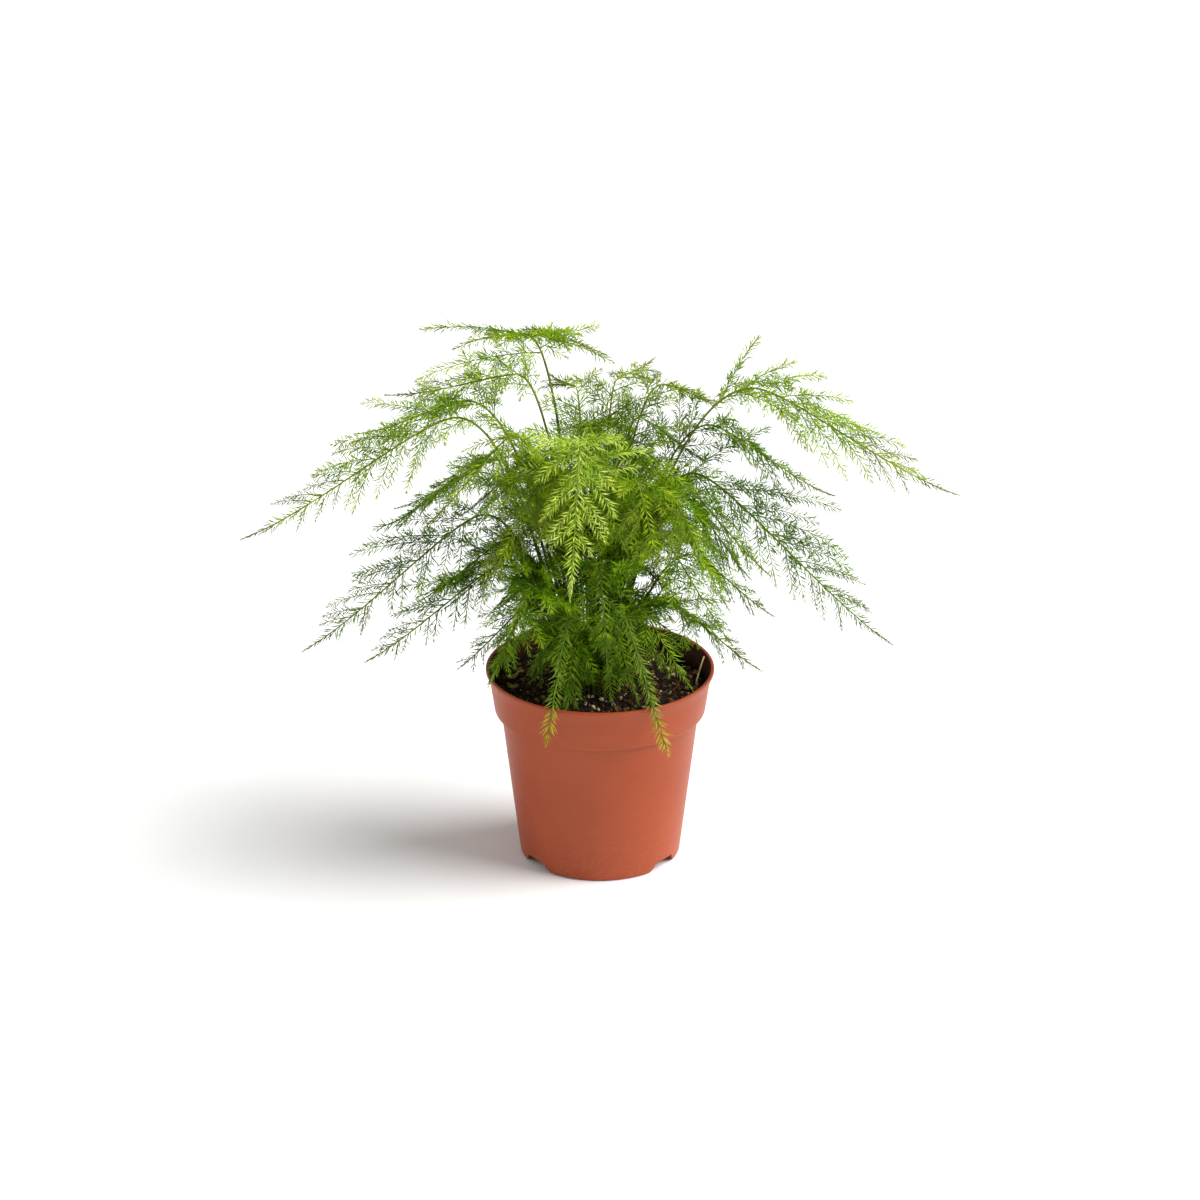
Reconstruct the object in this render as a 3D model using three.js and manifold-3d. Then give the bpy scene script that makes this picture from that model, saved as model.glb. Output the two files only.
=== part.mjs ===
// A potted lace fern: an asparagus fern with 30 lacy fronds, in a 12 cm nursery pot of moulded plastic.
// Millimetres, +Z up, +X to the viewer's right, +Y away from the viewer.
// The origin is on the surface that the pot stands on, under the middle of the plant.

import * as THREE from "three";
import { mergeVertices } from "three/addons/utils/BufferGeometryUtils.js";
import Module from "manifold-3d";

const wasm = await Module();
wasm.setup();

// Pot
const POT_HEIGHT = 105;
const RIM_RADIUS = 60;
const LIP_HEIGHT = 7; // the band under the rim that flares out to it
const LIP_RADIUS = 57.8; // outside, where the flare starts
const LIP_FLARE = { in: 1, up: 3.4 }; // a point on the flare, in from the rim and up from its start
const RIM_EDGE = 0.7; // rounding of the rim
const RIM_THICKNESS = 1.6;
const COLLAR_BOTTOM = 81.2;
const COLLAR_RADIUS = 55.4; // outside, at the bottom of the collar
const COLLAR_EDGE = 1.6; // height of its rounded lower edge
const COLLAR_CHAMFER = 1.3; // width of that edge
const WALL_TOP_RADIUS = 52; // outside, where the wall meets the collar
const WALL_TOP_DROP = 1; // how far under the collar the wall starts to turn out
const BASE_RADIUS = 42.4; // outside, above the rounded bottom edge
const BASE_EDGE = 3.5; // height of that rounded edge
const BASE_BULGE = { out: 0.7, up: 0.4 }; // a point on it, as shares of its width and its height
const FOOT_OUTER = 41;
const FOOT_INNER = 38.6;
const WALL = 1.2;
const FLOOR_UNDERSIDE = 6;
const FLOOR = 1.4;
const FLOOR_EDGE = 1.5; // rounding where the floor meets the foot and the wall
const POT_SIDES = 40;

// Notches in the foot, and the drainage hole that each one leads to
const NOTCH_ANGLES = [-127, -53, 53, 127]; // degrees from the middle of the front
const NOTCH_ROOF = 15.5;
const NOTCH_MOUTH = 25;
const NOTCH_HEIGHT = 5.4;
const NOTCH_REACH = [-6, 4]; // how far the notch is cut, in and out from the inside of the foot
const DRAIN_RADIUS = 4.5;
const DRAIN_FROM_AXIS = 32;
const DRAIN_SIDES = 8;

// Soil, which holds together with its roots down to the floor of the pot
const SOIL_TOP = 93;
const SOIL_GAP = 0.3;
const SOIL_SECTORS = 20;
const SOIL_RINGS = 6;
const CLOD_HEIGHT = 1.6;
const SOIL_EDGE = 1.8; // rounding at the soil's bottom edge
const SOIL_SHY = 0.2; // what the soil keeps further back from the wall where its many sides bend

// Dry litter on the soil: a straw that leans on the inside of the rim, a dead twig and curled leaf bits,
// placed by their distance from the pot's axis and their heading in degrees from +X
const LITTER_GAP = 0.35;
const STRAW = { radius: 0.45, from: [50.5, 2], to: [56.8, 15], leansAt: 104 };
const TWIG = { radius: 0.4, from: [16, -73], to: [34, -74] };
const ROD_BEND = 0.8; // how far the middle of the straw and of the twig stands proud
const ROD_SIDES = 5;
const ROD_STEPS = 4;
const CURLED_LEAVES = [
  { out: 47, heading: 170, turn: 30, length: 10 },
  { out: 45, heading: 159, turn: 100, length: 8 },
  { out: 46, heading: 183, turn: 150, length: 9 },
];
const LEAF_WIDTH = 3.6;
const LEAF_THICKNESS = 0.6;
const LEAF_CURL = 130; // degrees from end to end
const LEAF_END = 0.24; // width at the ends, as a share of the width
const LEAF_STEPS = 6;

// Crown, where all the stems rise from the soil
const CROWN_X = -5;
const CROWN_Y = 2;
const STEM_BURIED = 12;
const STEM_HOLE_RADIUS = 1.9;
const STEM_HOLE_SIDES = 4;
const STEM_HOLE_SPARE = 0.6; // depth of the hole under the stem's end
const STEM_RADIUS = 0.85;
const RACHIS_TIP_RADIUS = 0.4;
const STEM_STEP = 30; // between the rings of a bare stem

// How a frond's line bends: the first two values shape its rise and the others its fall.
const STEM_LEAN = 0.22; // share of the way out to the crest that the straight stem heads for
const SHOULDER = 0.45; // share of the way out to the crest over which the stem bends level
const LEVEL_RUN = 0.16; // share of the way from the crest to the tip that stays near level
const TIP_RUN = 0.34; // share of that way over which the tip straightens
const TIP_HANG = 0.07; // how far the fall hangs under its chord, as a share of that way

// Side branches, which stand to the left and right of a frond's rachis in turn
const BRANCH_PITCH = 10;
const BRANCH_ROOT = 2.4; // length of rachis that a branch grows out of
const BRANCH_RADIUS = 0.5;
const BRANCH_TIP_RADIUS = 0.32;
const BRANCH_TIP_ANGLE = 38; // degrees from the rachis, on the last branch
const BRANCH_SAG = 0.2; // how far a branch's tip hangs, as a share of its length
const SHORTEST_BRANCH = 7;
const LOW_SIDE_ROLL = 56; // degrees of roll at which the lowered side would have no branches left
const FIRST_BRANCH = 0.7; // length of the lowest branch, as a share of the frond's longest
const BRANCH_SWELL = 2.2; // how fast that share grows to 1 up the leafy part
const BRANCH_TAPER = 0.86; // share that the branches lose from the lowest to the last
const LENGTH_DRAW = [0.82, 1.12]; // shares between which a branch's length is drawn
const ANGLE_DRAW = 10; // degrees over which its angle is drawn
const LIFT_DRAW = 14; // degrees over which its lift out of the frond's face is drawn

// Needles, in whorls of six round a branch, with one more at its tip
const NEEDLE = 5.5;
const NEEDLE_LEAN = 48; // degrees from the branch
const NEEDLE_SPREAD = 26; // degrees to each side of the face that a pair grows from
const WHORL = 1.4; // length of branch that a whorl grows out of
const WHORL_STEP = 22; // about, between the whorls of one branch
const LAST_WHORL_SPARE = 0.35; // what stays bare after the last whorl, as a share of that step

// Clearances between pieces that grow past each other
const BRANCH_CLEARANCE = 1.5;
const NEEDLE_CLEARANCE = 1.05;
const POT_CLEARANCE = 1.2;
const RIM_MARGIN = 2; // what is kept free above the rim, to the inside of the lip
const ROOT_FREE = 3; // length of a branch, from its root, that is as near to its own stem as it must be
const STOP_STEP = 8; // between the points at which a branch is tested
const ROUTE_STEP = 10; // the same, for a stem
const SHORTER = [1, 0.75, 0.5, 0.3]; // shares of its length that a branch tries until it is clear
const SWINGS = [0, 9, -9, 18, -18, 27, -27]; // degrees up or down that it tries at each length
const CUBE = 12; // side of the cubes of space into which all that has grown is sorted

// Every frond, with its heading in degrees from +X, the distances in mm from the crown's middle and the
// heights in mm above the table: foot where it leaves the soil, crest where it is level, tip where it ends.
// swing turns the tip round the crown, roll lifts the left side of the frond, bare is the share of the
// length with no branches, spread is the length of the longest branch, and opening is the angle in degrees
// between the lowest branch and the rachis.
const FRONDS = [
  { name: "frond_top_left", heading: 128, foot: 5, crestOut: 50, crestUp: 274, tipOut: 83, tipUp: 263,
    swing: -30, roll: 14, bare: 0.73, spread: 96, opening: 80 },
  { name: "frond_top_left_front", heading: 170, foot: 4, crestOut: 38, crestUp: 266, tipOut: 106, tipUp: 252,
    swing: 3, roll: -14, bare: 0.66, spread: 46, opening: 50 },
  { name: "frond_left_long", heading: 187, foot: 12, crestOut: 70, crestUp: 248, tipOut: 181, tipUp: 186,
    swing: 0, roll: -22, bare: 0.54, spread: 60, opening: 52 },
  { name: "frond_left_back_high", heading: 162, foot: 8, crestOut: 66, crestUp: 246, tipOut: 132, tipUp: 216,
    swing: -4, roll: -14, bare: 0.6, spread: 50, opening: 52 },
  { name: "frond_left_middle", heading: 174, foot: 9, crestOut: 58, crestUp: 212, tipOut: 103, tipUp: 186,
    swing: -5, roll: -16, bare: 0.42, spread: 44, opening: 52 },
  { name: "frond_left_low_outer", heading: 196, foot: 14, crestOut: 58, crestUp: 197, tipOut: 154, tipUp: 132,
    swing: 0, roll: -26, bare: 0.47, spread: 60, opening: 50 },
  { name: "frond_left_low_middle", heading: 208, foot: 12, crestOut: 53, crestUp: 172, tipOut: 128, tipUp: 132,
    swing: -2, roll: -24, bare: 0.42, spread: 50, opening: 50 },
  { name: "frond_left_low_inner", heading: 214, foot: 15, crestOut: 40, crestUp: 148, tipOut: 78, tipUp: 121,
    swing: -4, roll: -20, bare: 0.34, spread: 32, opening: 50 },
  { name: "frond_right_long", heading: -2, foot: 8, crestOut: 84, crestUp: 262, tipOut: 190, tipUp: 207,
    swing: -2, roll: 14, bare: 0.54, spread: 72, opening: 46 },
  { name: "frond_right_low_outer", heading: -16, foot: 12, crestOut: 56, crestUp: 220, tipOut: 161, tipUp: 137,
    swing: 0, roll: 24, bare: 0.48, spread: 80, opening: 46 },
  { name: "frond_right_back", heading: 24, foot: 11, crestOut: 66, crestUp: 230, tipOut: 140, tipUp: 178,
    swing: 0, roll: 18, bare: 0.48, spread: 54, opening: 46 },
  { name: "frond_right_middle", heading: 8, foot: 14, crestOut: 53, crestUp: 165, tipOut: 98, tipUp: 125,
    swing: 3, roll: 18, bare: 0.36, spread: 48, opening: 50 },
  { name: "frond_right_low", heading: -28, foot: 15, crestOut: 48, crestUp: 150, tipOut: 91, tipUp: 112,
    swing: 14, roll: 14, bare: 0.34, spread: 38, opening: 50 },
  { name: "frond_front_bright", heading: 264, foot: 10, crestOut: 45, crestUp: 250, tipOut: 96, tipUp: 184,
    swing: 0, roll: 0, bare: 0.46, spread: 48, opening: 60 },
  { name: "frond_front_right", heading: 300, foot: 9, crestOut: 46, crestUp: 226, tipOut: 90, tipUp: 188,
    swing: -6, roll: 0, bare: 0.42, spread: 46, opening: 60 },
  { name: "frond_front_left", heading: 236, foot: 8, crestOut: 44, crestUp: 222, tipOut: 90, tipUp: 180,
    swing: -3, roll: 0, bare: 0.42, spread: 44, opening: 60 },
  { name: "frond_front_left_high", heading: 216, foot: 7, crestOut: 50, crestUp: 246, tipOut: 98, tipUp: 206,
    swing: -4, roll: 0, bare: 0.48, spread: 44, opening: 60 },
  { name: "frond_front_right_low", heading: 318, foot: 10, crestOut: 50, crestUp: 190, tipOut: 100, tipUp: 148,
    swing: -2, roll: 0, bare: 0.38, spread: 42, opening: 60 },
  { name: "frond_front_low", heading: 277, foot: 14, crestOut: 38, crestUp: 178, tipOut: 74, tipUp: 134,
    swing: 0, roll: 0, bare: 0.34, spread: 36, opening: 60 },
  { name: "frond_rim_left", heading: 252, foot: 16, crestOut: 36, crestUp: 146, tipOut: 74, tipUp: 92,
    swing: 0, roll: 0, bare: 0.3, spread: 20, opening: 60 },
  { name: "frond_rim_right", heading: 296, foot: 16, crestOut: 40, crestUp: 148, tipOut: 80, tipUp: 86,
    swing: 4, roll: 0, bare: 0.3, spread: 22, opening: 60 },
  { name: "frond_top_back", heading: 104, foot: 4, crestOut: 30, crestUp: 250, tipOut: 64, tipUp: 246,
    swing: 6, roll: 0, bare: 0.54, spread: 44, opening: 60 },
  { name: "frond_top_right_back", heading: 66, foot: 6, crestOut: 34, crestUp: 254, tipOut: 76, tipUp: 251,
    swing: -2, roll: 0, bare: 0.52, spread: 46, opening: 60 },
  { name: "frond_top_right", heading: 38, foot: 5, crestOut: 46, crestUp: 252, tipOut: 88, tipUp: 232,
    swing: 0, roll: 0, bare: 0.48, spread: 48, opening: 60 },
  { name: "frond_back_left", heading: 146, foot: 13, crestOut: 60, crestUp: 208, tipOut: 126, tipUp: 158,
    swing: 4, roll: 0, bare: 0.4, spread: 48, opening: 60 },
  { name: "frond_back_middle", heading: 88, foot: 11, crestOut: 50, crestUp: 222, tipOut: 95, tipUp: 182,
    swing: 0, roll: 0, bare: 0.44, spread: 44, opening: 60 },
  { name: "frond_back_low_right", heading: 56, foot: 13, crestOut: 48, crestUp: 182, tipOut: 104, tipUp: 136,
    swing: 0, roll: 0, bare: 0.38, spread: 42, opening: 60 },
  { name: "frond_back_low_left", heading: 118, foot: 13, crestOut: 46, crestUp: 174, tipOut: 102, tipUp: 128,
    swing: 0, roll: 0, bare: 0.38, spread: 42, opening: 60 },
  { name: "frond_low_left", heading: 232, foot: 14, crestOut: 28, crestUp: 132, tipOut: 46, tipUp: 116,
    swing: -3, roll: 0, bare: 0.32, spread: 22, opening: 60 },
  { name: "frond_low_right", heading: -6, foot: 16, crestOut: 30, crestUp: 134, tipOut: 52, tipUp: 117,
    swing: 6, roll: 0, bare: 0.32, spread: 24, opening: 60 },
];

const UP = new THREE.Vector3(0, 0, 1);
const radians = THREE.MathUtils.degToRad;
const lerp = THREE.MathUtils.lerp;

function direction(degrees) {
  return new THREE.Vector3(Math.cos(radians(degrees)), Math.sin(radians(degrees)), 0);
}

// Draws numbers from 0 to 1, the same ones for the same seed.
function seededDraws(seed) {
  let state = seed >>> 0;
  return () => {
    state = (Math.imul(1664525, state) + 1013904223) >>> 0;
    return state / 4294967296;
  };
}

// Solids from closed meshes, and back
function solidOf(geometry, matrix = new THREE.Matrix4()) {
  const plain = geometry.clone().applyMatrix4(matrix);
  plain.deleteAttribute("normal");
  plain.deleteAttribute("uv");
  const merged = mergeVertices(plain, 1e-4);
  return new wasm.Manifold(
    new wasm.Mesh({
      numProp: 3,
      vertProperties: new Float32Array(merged.attributes.position.array),
      triVerts: new Uint32Array(merged.index.array),
    }),
  );
}

function geometryOf(solid) {
  const mesh = solid.getMesh();
  const geometry = new THREE.BufferGeometry();
  geometry.setAttribute("position", new THREE.BufferAttribute(mesh.vertProperties, 3));
  geometry.setIndex(new THREE.BufferAttribute(mesh.triVerts, 1));
  return geometry;
}

// A round piece about Z from its profile of [radius, height] points, listed so that its faces look out
function turned(profile, sides) {
  const points = profile.map(([radius, height]) => new THREE.Vector2(radius, height));
  return new THREE.LatheGeometry(points, sides).rotateX(Math.PI / 2);
}

// Pot
function potProfile() {
  const lipBottom = POT_HEIGHT - LIP_HEIGHT;
  const floorTop = FLOOR_UNDERSIDE + FLOOR;
  return [
    [0, FLOOR_UNDERSIDE],
    [FOOT_INNER - FLOOR_EDGE, FLOOR_UNDERSIDE],
    [FOOT_INNER, FLOOR_UNDERSIDE - FLOOR_EDGE],
    [FOOT_INNER, 0],
    [FOOT_OUTER, 0],
    [lerp(FOOT_OUTER, BASE_RADIUS, BASE_BULGE.out), BASE_EDGE * BASE_BULGE.up],
    [BASE_RADIUS, BASE_EDGE],
    [WALL_TOP_RADIUS, COLLAR_BOTTOM - WALL_TOP_DROP],
    [COLLAR_RADIUS - COLLAR_CHAMFER, COLLAR_BOTTOM],
    [COLLAR_RADIUS, COLLAR_BOTTOM + COLLAR_EDGE],
    [LIP_RADIUS, lipBottom],
    [RIM_RADIUS - LIP_FLARE.in, lipBottom + LIP_FLARE.up],
    [RIM_RADIUS, POT_HEIGHT - RIM_EDGE],
    [RIM_RADIUS - RIM_EDGE, POT_HEIGHT],
    [RIM_RADIUS - RIM_THICKNESS, POT_HEIGHT],
    [LIP_RADIUS - WALL, lipBottom],
    [COLLAR_RADIUS - WALL, COLLAR_BOTTOM + COLLAR_EDGE],
    [WALL_TOP_RADIUS - WALL, COLLAR_BOTTOM - 2 * WALL_TOP_DROP],
    [BASE_RADIUS - WALL, floorTop + FLOOR_EDGE],
    [BASE_RADIUS - WALL - FLOOR_EDGE, floorTop],
    [0, floorTop],
  ];
}

// The room that one drainage notch takes out of the foot, with its roof above and its mouth on the table
function notchRoom(degrees) {
  const belowTable = -1;
  const outline = new THREE.Shape([
    new THREE.Vector2(-NOTCH_MOUTH / 2, belowTable),
    new THREE.Vector2(NOTCH_MOUTH / 2, belowTable),
    new THREE.Vector2(NOTCH_ROOF / 2, NOTCH_HEIGHT),
    new THREE.Vector2(-NOTCH_ROOF / 2, NOTCH_HEIGHT),
  ]);
  const [inward, outward] = NOTCH_REACH;
  const depth = outward - inward;
  const room = new THREE.ExtrudeGeometry(outline, { depth, bevelEnabled: false });
  const turn = new THREE.Matrix4().makeRotationZ(radians(degrees));
  const lay = new THREE.Matrix4().makeRotationX(Math.PI / 2);
  const move = new THREE.Matrix4().makeTranslation(0, -FOOT_INNER - inward, 0);
  return solidOf(room, turn.multiply(move).multiply(lay));
}

function drainRoom(degrees) {
  const height = 4 * FLOOR;
  const room = new THREE.CylinderGeometry(DRAIN_RADIUS, DRAIN_RADIUS, height, DRAIN_SIDES);
  room.rotateX(Math.PI / 2);
  const place = direction(degrees - 90).multiplyScalar(DRAIN_FROM_AXIS);
  place.z = FLOOR_UNDERSIDE + FLOOR / 2;
  return solidOf(room, new THREE.Matrix4().makeTranslation(place));
}

function potGeometry() {
  let pot = solidOf(turned(potProfile(), POT_SIDES));
  for (const degrees of NOTCH_ANGLES) {
    pot = pot.subtract(notchRoom(degrees));
    pot = pot.subtract(drainRoom(degrees));
  }
  return geometryOf(pot);
}

// A point is too near the pot or the soil when it lies under this height for its distance from the axis.
function potCeiling(x, y) {
  const radius = Math.hypot(x, y);
  if (radius > RIM_RADIUS + POT_CLEARANCE) return -Infinity;
  if (radius > LIP_RADIUS - WALL - POT_CLEARANCE - RIM_MARGIN) return POT_HEIGHT + POT_CLEARANCE;
  return SOIL_TOP + CLOD_HEIGHT + POT_CLEARANCE;
}

function isOverPot(point) {
  return point.z > potCeiling(point.x, point.y);
}

// Soil
function clodHeight(x, y) {
  const mounds = Math.sin(0.13 * x + 1.3) * Math.cos(0.11 * y - 0.6);
  const lumps = Math.sin(0.19 * x - 0.16 * y + 0.8);
  return CLOD_HEIGHT * (0.6 * mounds + 0.4 * lumps);
}

function soilSideProfile() {
  const floorTop = FLOOR_UNDERSIDE + FLOOR;
  const gap = WALL + SOIL_GAP;
  const collarFoot = COLLAR_BOTTOM + COLLAR_EDGE;
  const topShare = (SOIL_TOP - collarFoot) / (POT_HEIGHT - LIP_HEIGHT - collarFoot);
  return [
    [BASE_RADIUS - gap - SOIL_EDGE, floorTop + SOIL_GAP],
    [BASE_RADIUS - gap, floorTop + SOIL_GAP + SOIL_EDGE],
    [WALL_TOP_RADIUS - gap - SOIL_SHY, COLLAR_BOTTOM - 2 * WALL_TOP_DROP],
    [COLLAR_RADIUS - gap - SOIL_SHY, collarFoot + SOIL_SHY],
    [lerp(COLLAR_RADIUS, LIP_RADIUS, topShare) - gap - SOIL_SHY, SOIL_TOP],
  ];
}

function soilGeometry() {
  const side = soilSideProfile();
  const edge = side[side.length - 1][0];
  const surface = new ClosedSurface();
  const ringAt = (radius, heightAt) =>
    Array.from({ length: SOIL_SECTORS }, (_, k) => {
      const p = direction((360 * k) / SOIL_SECTORS).multiplyScalar(radius);
      return surface.point(new THREE.Vector3(p.x, p.y, heightAt(p.x, p.y)));
    });
  const rings = side.slice(0, -1).map(([radius, height]) => ringAt(radius, () => height));
  for (let ring = SOIL_RINGS; ring >= 1; ring--) {
    const radius = (edge * ring) / SOIL_RINGS;
    rings.push(ringAt(radius, (x, y) => SOIL_TOP + clodHeight(x, y)));
  }
  const bottom = surface.point(new THREE.Vector3(0, 0, side[0][1]));
  const middle = surface.point(new THREE.Vector3(0, 0, SOIL_TOP + clodHeight(0, 0)));
  surface.fan(bottom, [...rings[0]].reverse());
  for (let ring = 1; ring < rings.length; ring++) surface.band(rings[ring - 1], rings[ring]);
  surface.fan(middle, rings[rings.length - 1]);
  return surface.geometry();
}

// A plain hole for each stem, along the line in which the stem leaves the soil
function stemHole(route) {
  const depth = STEM_BURIED + STEM_HOLE_SPARE;
  const height = depth + 3 * CLOD_HEIGHT;
  const hole = new THREE.CylinderGeometry(STEM_HOLE_RADIUS, STEM_HOLE_RADIUS, height, STEM_HOLE_SIDES);
  const along = route.tangent(0);
  const middle = route.foot.clone().addScaledVector(along, height / 2 - depth);
  const turn = new THREE.Quaternion().setFromUnitVectors(new THREE.Vector3(0, 1, 0), along);
  return solidOf(hole, new THREE.Matrix4().compose(middle, turn, new THREE.Vector3(1, 1, 1)));
}

// Litter
function soilPlace([out, heading], lift) {
  const place = direction(heading).multiplyScalar(out);
  return place.setZ(SOIL_TOP + clodHeight(place.x, place.y) + lift);
}

// A thin round rod along a curve through its points
function rodGeometry(points, radius) {
  const section = new THREE.Shape(
    Array.from({ length: ROD_SIDES }, (_, k) => {
      const turn = (2 * Math.PI * k) / ROD_SIDES;
      return new THREE.Vector2(radius * Math.cos(turn), radius * Math.sin(turn));
    }),
  );
  const extrudePath = new THREE.CatmullRomCurve3(points);
  return new THREE.ExtrudeGeometry(section, { steps: ROD_STEPS, extrudePath, bevelEnabled: false });
}

function strawPoints() {
  const from = soilPlace(STRAW.from, STRAW.radius + 2 * LITTER_GAP);
  const to = soilPlace(STRAW.to, 0).setZ(STRAW.leansAt);
  const middle = from.clone().lerp(to, 0.5).addScaledVector(UP, ROD_BEND);
  return [from, middle, to];
}

function twigPoints() {
  const from = soilPlace(TWIG.from, 0);
  const to = soilPlace(TWIG.to, 0);
  const height = Math.max(from.z, to.z) + TWIG.radius + LITTER_GAP;
  return [from.setZ(height), from.clone().lerp(to, 0.5).setZ(height + ROD_BEND), to.setZ(height)];
}

// A dry leaf bit, curled up at both ends
function curledLeafGeometry(leaf) {
  const surface = new ClosedSurface();
  const radius = leaf.length / radians(LEAF_CURL);
  const rings = Array.from({ length: LEAF_STEPS + 1 }, (_, k) => {
    const turn = radians(LEAF_CURL) * (k / LEAF_STEPS - 0.5);
    const half = (LEAF_WIDTH / 2) * lerp(LEAF_END, 1, Math.sin((Math.PI * k) / LEAF_STEPS));
    const corner = (across, thick) => {
      const from = radius - thick;
      return surface.point(new THREE.Vector3(from * Math.sin(turn), across, radius - from * Math.cos(turn)));
    };
    return [corner(half, 0), corner(half, LEAF_THICKNESS), corner(-half, LEAF_THICKNESS), corner(-half, 0)];
  });
  const [first, last] = [rings[0], rings[LEAF_STEPS]];
  surface.triangle(first[0], first[2], first[1]);
  surface.triangle(first[0], first[3], first[2]);
  for (let k = 1; k <= LEAF_STEPS; k++) surface.band(rings[k - 1], rings[k]);
  surface.triangle(last[0], last[1], last[2]);
  surface.triangle(last[0], last[2], last[3]);
  const place = soilPlace([leaf.out, leaf.heading], 2 * LITTER_GAP);
  const turn = new THREE.Matrix4().makeRotationZ(radians(leaf.turn));
  return surface.geometry().applyMatrix4(turn).translate(place.x, place.y, place.z);
}

// A closed surface that is put together triangle by triangle
class ClosedSurface {
  constructor() {
    this.points = [];
    this.triangles = [];
  }

  point(position) {
    this.points.push(position.clone());
    return this.points.length - 1;
  }

  triangle(a, b, c) {
    this.triangles.push([a, b, c]);
  }

  // Joins a ring to a point, in front of which the ring runs anticlockwise.
  fan(tip, ring) {
    ring.forEach((p, k) => this.triangle(p, ring[(k + 1) % ring.length], tip));
  }

  // Joins two rings. grow, where given, takes over a triangle by its number and returns true.
  band(lower, upper, grow = () => false) {
    lower.forEach((a, k) => {
      const next = (k + 1) % lower.length;
      const first = [a, lower[next], upper[k]];
      const second = [lower[next], upper[next], upper[k]];
      if (!grow(first, 2 * k)) this.triangle(...first);
      if (!grow(second, 2 * k + 1)) this.triangle(...second);
    });
  }

  centre(corners) {
    const sum = new THREE.Vector3();
    corners.forEach((p) => sum.add(this.points[p]));
    return sum.divideScalar(corners.length);
  }

  // Raises a triangle to a point.
  spike(corners, apex) {
    this.fan(this.point(apex), corners);
  }

  geometry() {
    const geometry = new THREE.BufferGeometry();
    const positions = this.points.flatMap((p) => [p.x, p.y, p.z]);
    geometry.setAttribute("position", new THREE.Float32BufferAttribute(positions, 3));
    geometry.setIndex(this.triangles.flat());
    return geometry;
  }
}

// What has already grown, as straight stretches sorted into cubes of space. Each stretch has an owner, and
// what grows may pass as close as it likes to the stretches of its kin.
class Thicket {
  constructor() {
    this.cubes = new Map();
  }

  keys(start, end, margin) {
    const low = start.clone().min(end).subScalar(margin).divideScalar(CUBE).floor();
    const high = start.clone().max(end).addScalar(margin).divideScalar(CUBE).floor();
    const found = [];
    for (let i = low.x; i <= high.x; i++) {
      for (let j = low.y; j <= high.y; j++) {
        for (let k = low.z; k <= high.z; k++) found.push(`${i},${j},${k}`);
      }
    }
    return found;
  }

  add(stops, owner) {
    for (let k = 1; k < stops.length; k++) {
      const stretch = { start: stops[k - 1], end: stops[k], owner };
      for (const key of this.keys(stretch.start, stretch.end, 0)) {
        if (!this.cubes.has(key)) this.cubes.set(key, []);
        this.cubes.get(key).push(stretch);
      }
    }
  }

  isClear(start, end, clearance, kin) {
    return this.keys(start, end, clearance).every((key) => {
      const near = this.cubes.get(key) || [];
      return near.every((other) => {
        return kin.includes(other.owner) || stretchDistance(start, end, other) >= clearance;
      });
    });
  }
}

// The least distance between two straight stretches
function stretchDistance(start, end, other) {
  const along = end.clone().sub(start);
  const across = other.end.clone().sub(other.start);
  const between = start.clone().sub(other.start);
  const aa = along.dot(along);
  const cc = across.dot(across);
  const ac = along.dot(across);
  const ab = along.dot(between);
  const cb = across.dot(between);
  const spread = aa * cc - ac * ac;
  let s = spread > 1e-9 ? THREE.MathUtils.clamp((ac * cb - ab * cc) / spread, 0, 1) : 0;
  const t = THREE.MathUtils.clamp((ac * s + cb) / cc, 0, 1);
  s = THREE.MathUtils.clamp((ac * t - ab) / aa, 0, 1);
  return between.addScaledVector(along, s).addScaledVector(across, -t).length();
}

// The line of one frond, from the soil over its crest to its tip
class Route {
  constructor(frond) {
    const crown = new THREE.Vector3(CROWN_X, CROWN_Y, 0);
    const out = direction(frond.heading);
    const at = (degrees, distance, height) =>
      direction(degrees).multiplyScalar(distance).add(crown).setZ(height);
    this.frond = frond;
    this.foot = at(frond.heading, frond.foot, SOIL_TOP);
    const crest = at(frond.heading, frond.crestOut, frond.crestUp);
    const tip = at(frond.heading + frond.swing, frond.tipOut, frond.tipUp);
    const rise = frond.crestUp - SOIL_TOP;
    const firstOut = frond.crestOut - frond.foot;
    const secondOut = frond.tipOut - frond.crestOut;
    this.line = new THREE.CurvePath();
    this.line.add(
      new THREE.CubicBezierCurve3(
        this.foot,
        this.foot.clone().addScaledVector(out, STEM_LEAN * firstOut).addScaledVector(UP, rise / 2),
        crest.clone().addScaledVector(out, -SHOULDER * firstOut),
        crest,
      ),
    );
    this.line.add(
      new THREE.CubicBezierCurve3(
        crest,
        crest.clone().addScaledVector(out, LEVEL_RUN * secondOut),
        tip.clone().lerp(crest, TIP_RUN).addScaledVector(UP, -TIP_HANG * secondOut),
        tip,
      ),
    );
    this.length = this.line.getLength();
  }

  point(distance) {
    return this.line.getPointAt(THREE.MathUtils.clamp(distance / this.length, 0, 1));
  }

  tangent(distance) {
    return this.line.getTangentAt(THREE.MathUtils.clamp(distance / this.length, 0, 1));
  }

  // along the stem, to its left side, and out of its upper face
  axes(distance) {
    const along = this.tangent(distance);
    const share = distance / this.length;
    const out = direction(this.frond.heading + this.frond.swing * share);
    const left = UP.clone().cross(out).applyAxisAngle(along, radians(this.frond.roll));
    const above = along.clone().cross(left).normalize();
    return { along, left: above.clone().cross(along), above };
  }
}

// How long a branch is at a share of the leafy part, as a share of the frond's longest branch
function branchShare(share) {
  return Math.min(1, FIRST_BRANCH + BRANCH_SWELL * share) * (1 - BRANCH_TAPER * share);
}

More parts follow.
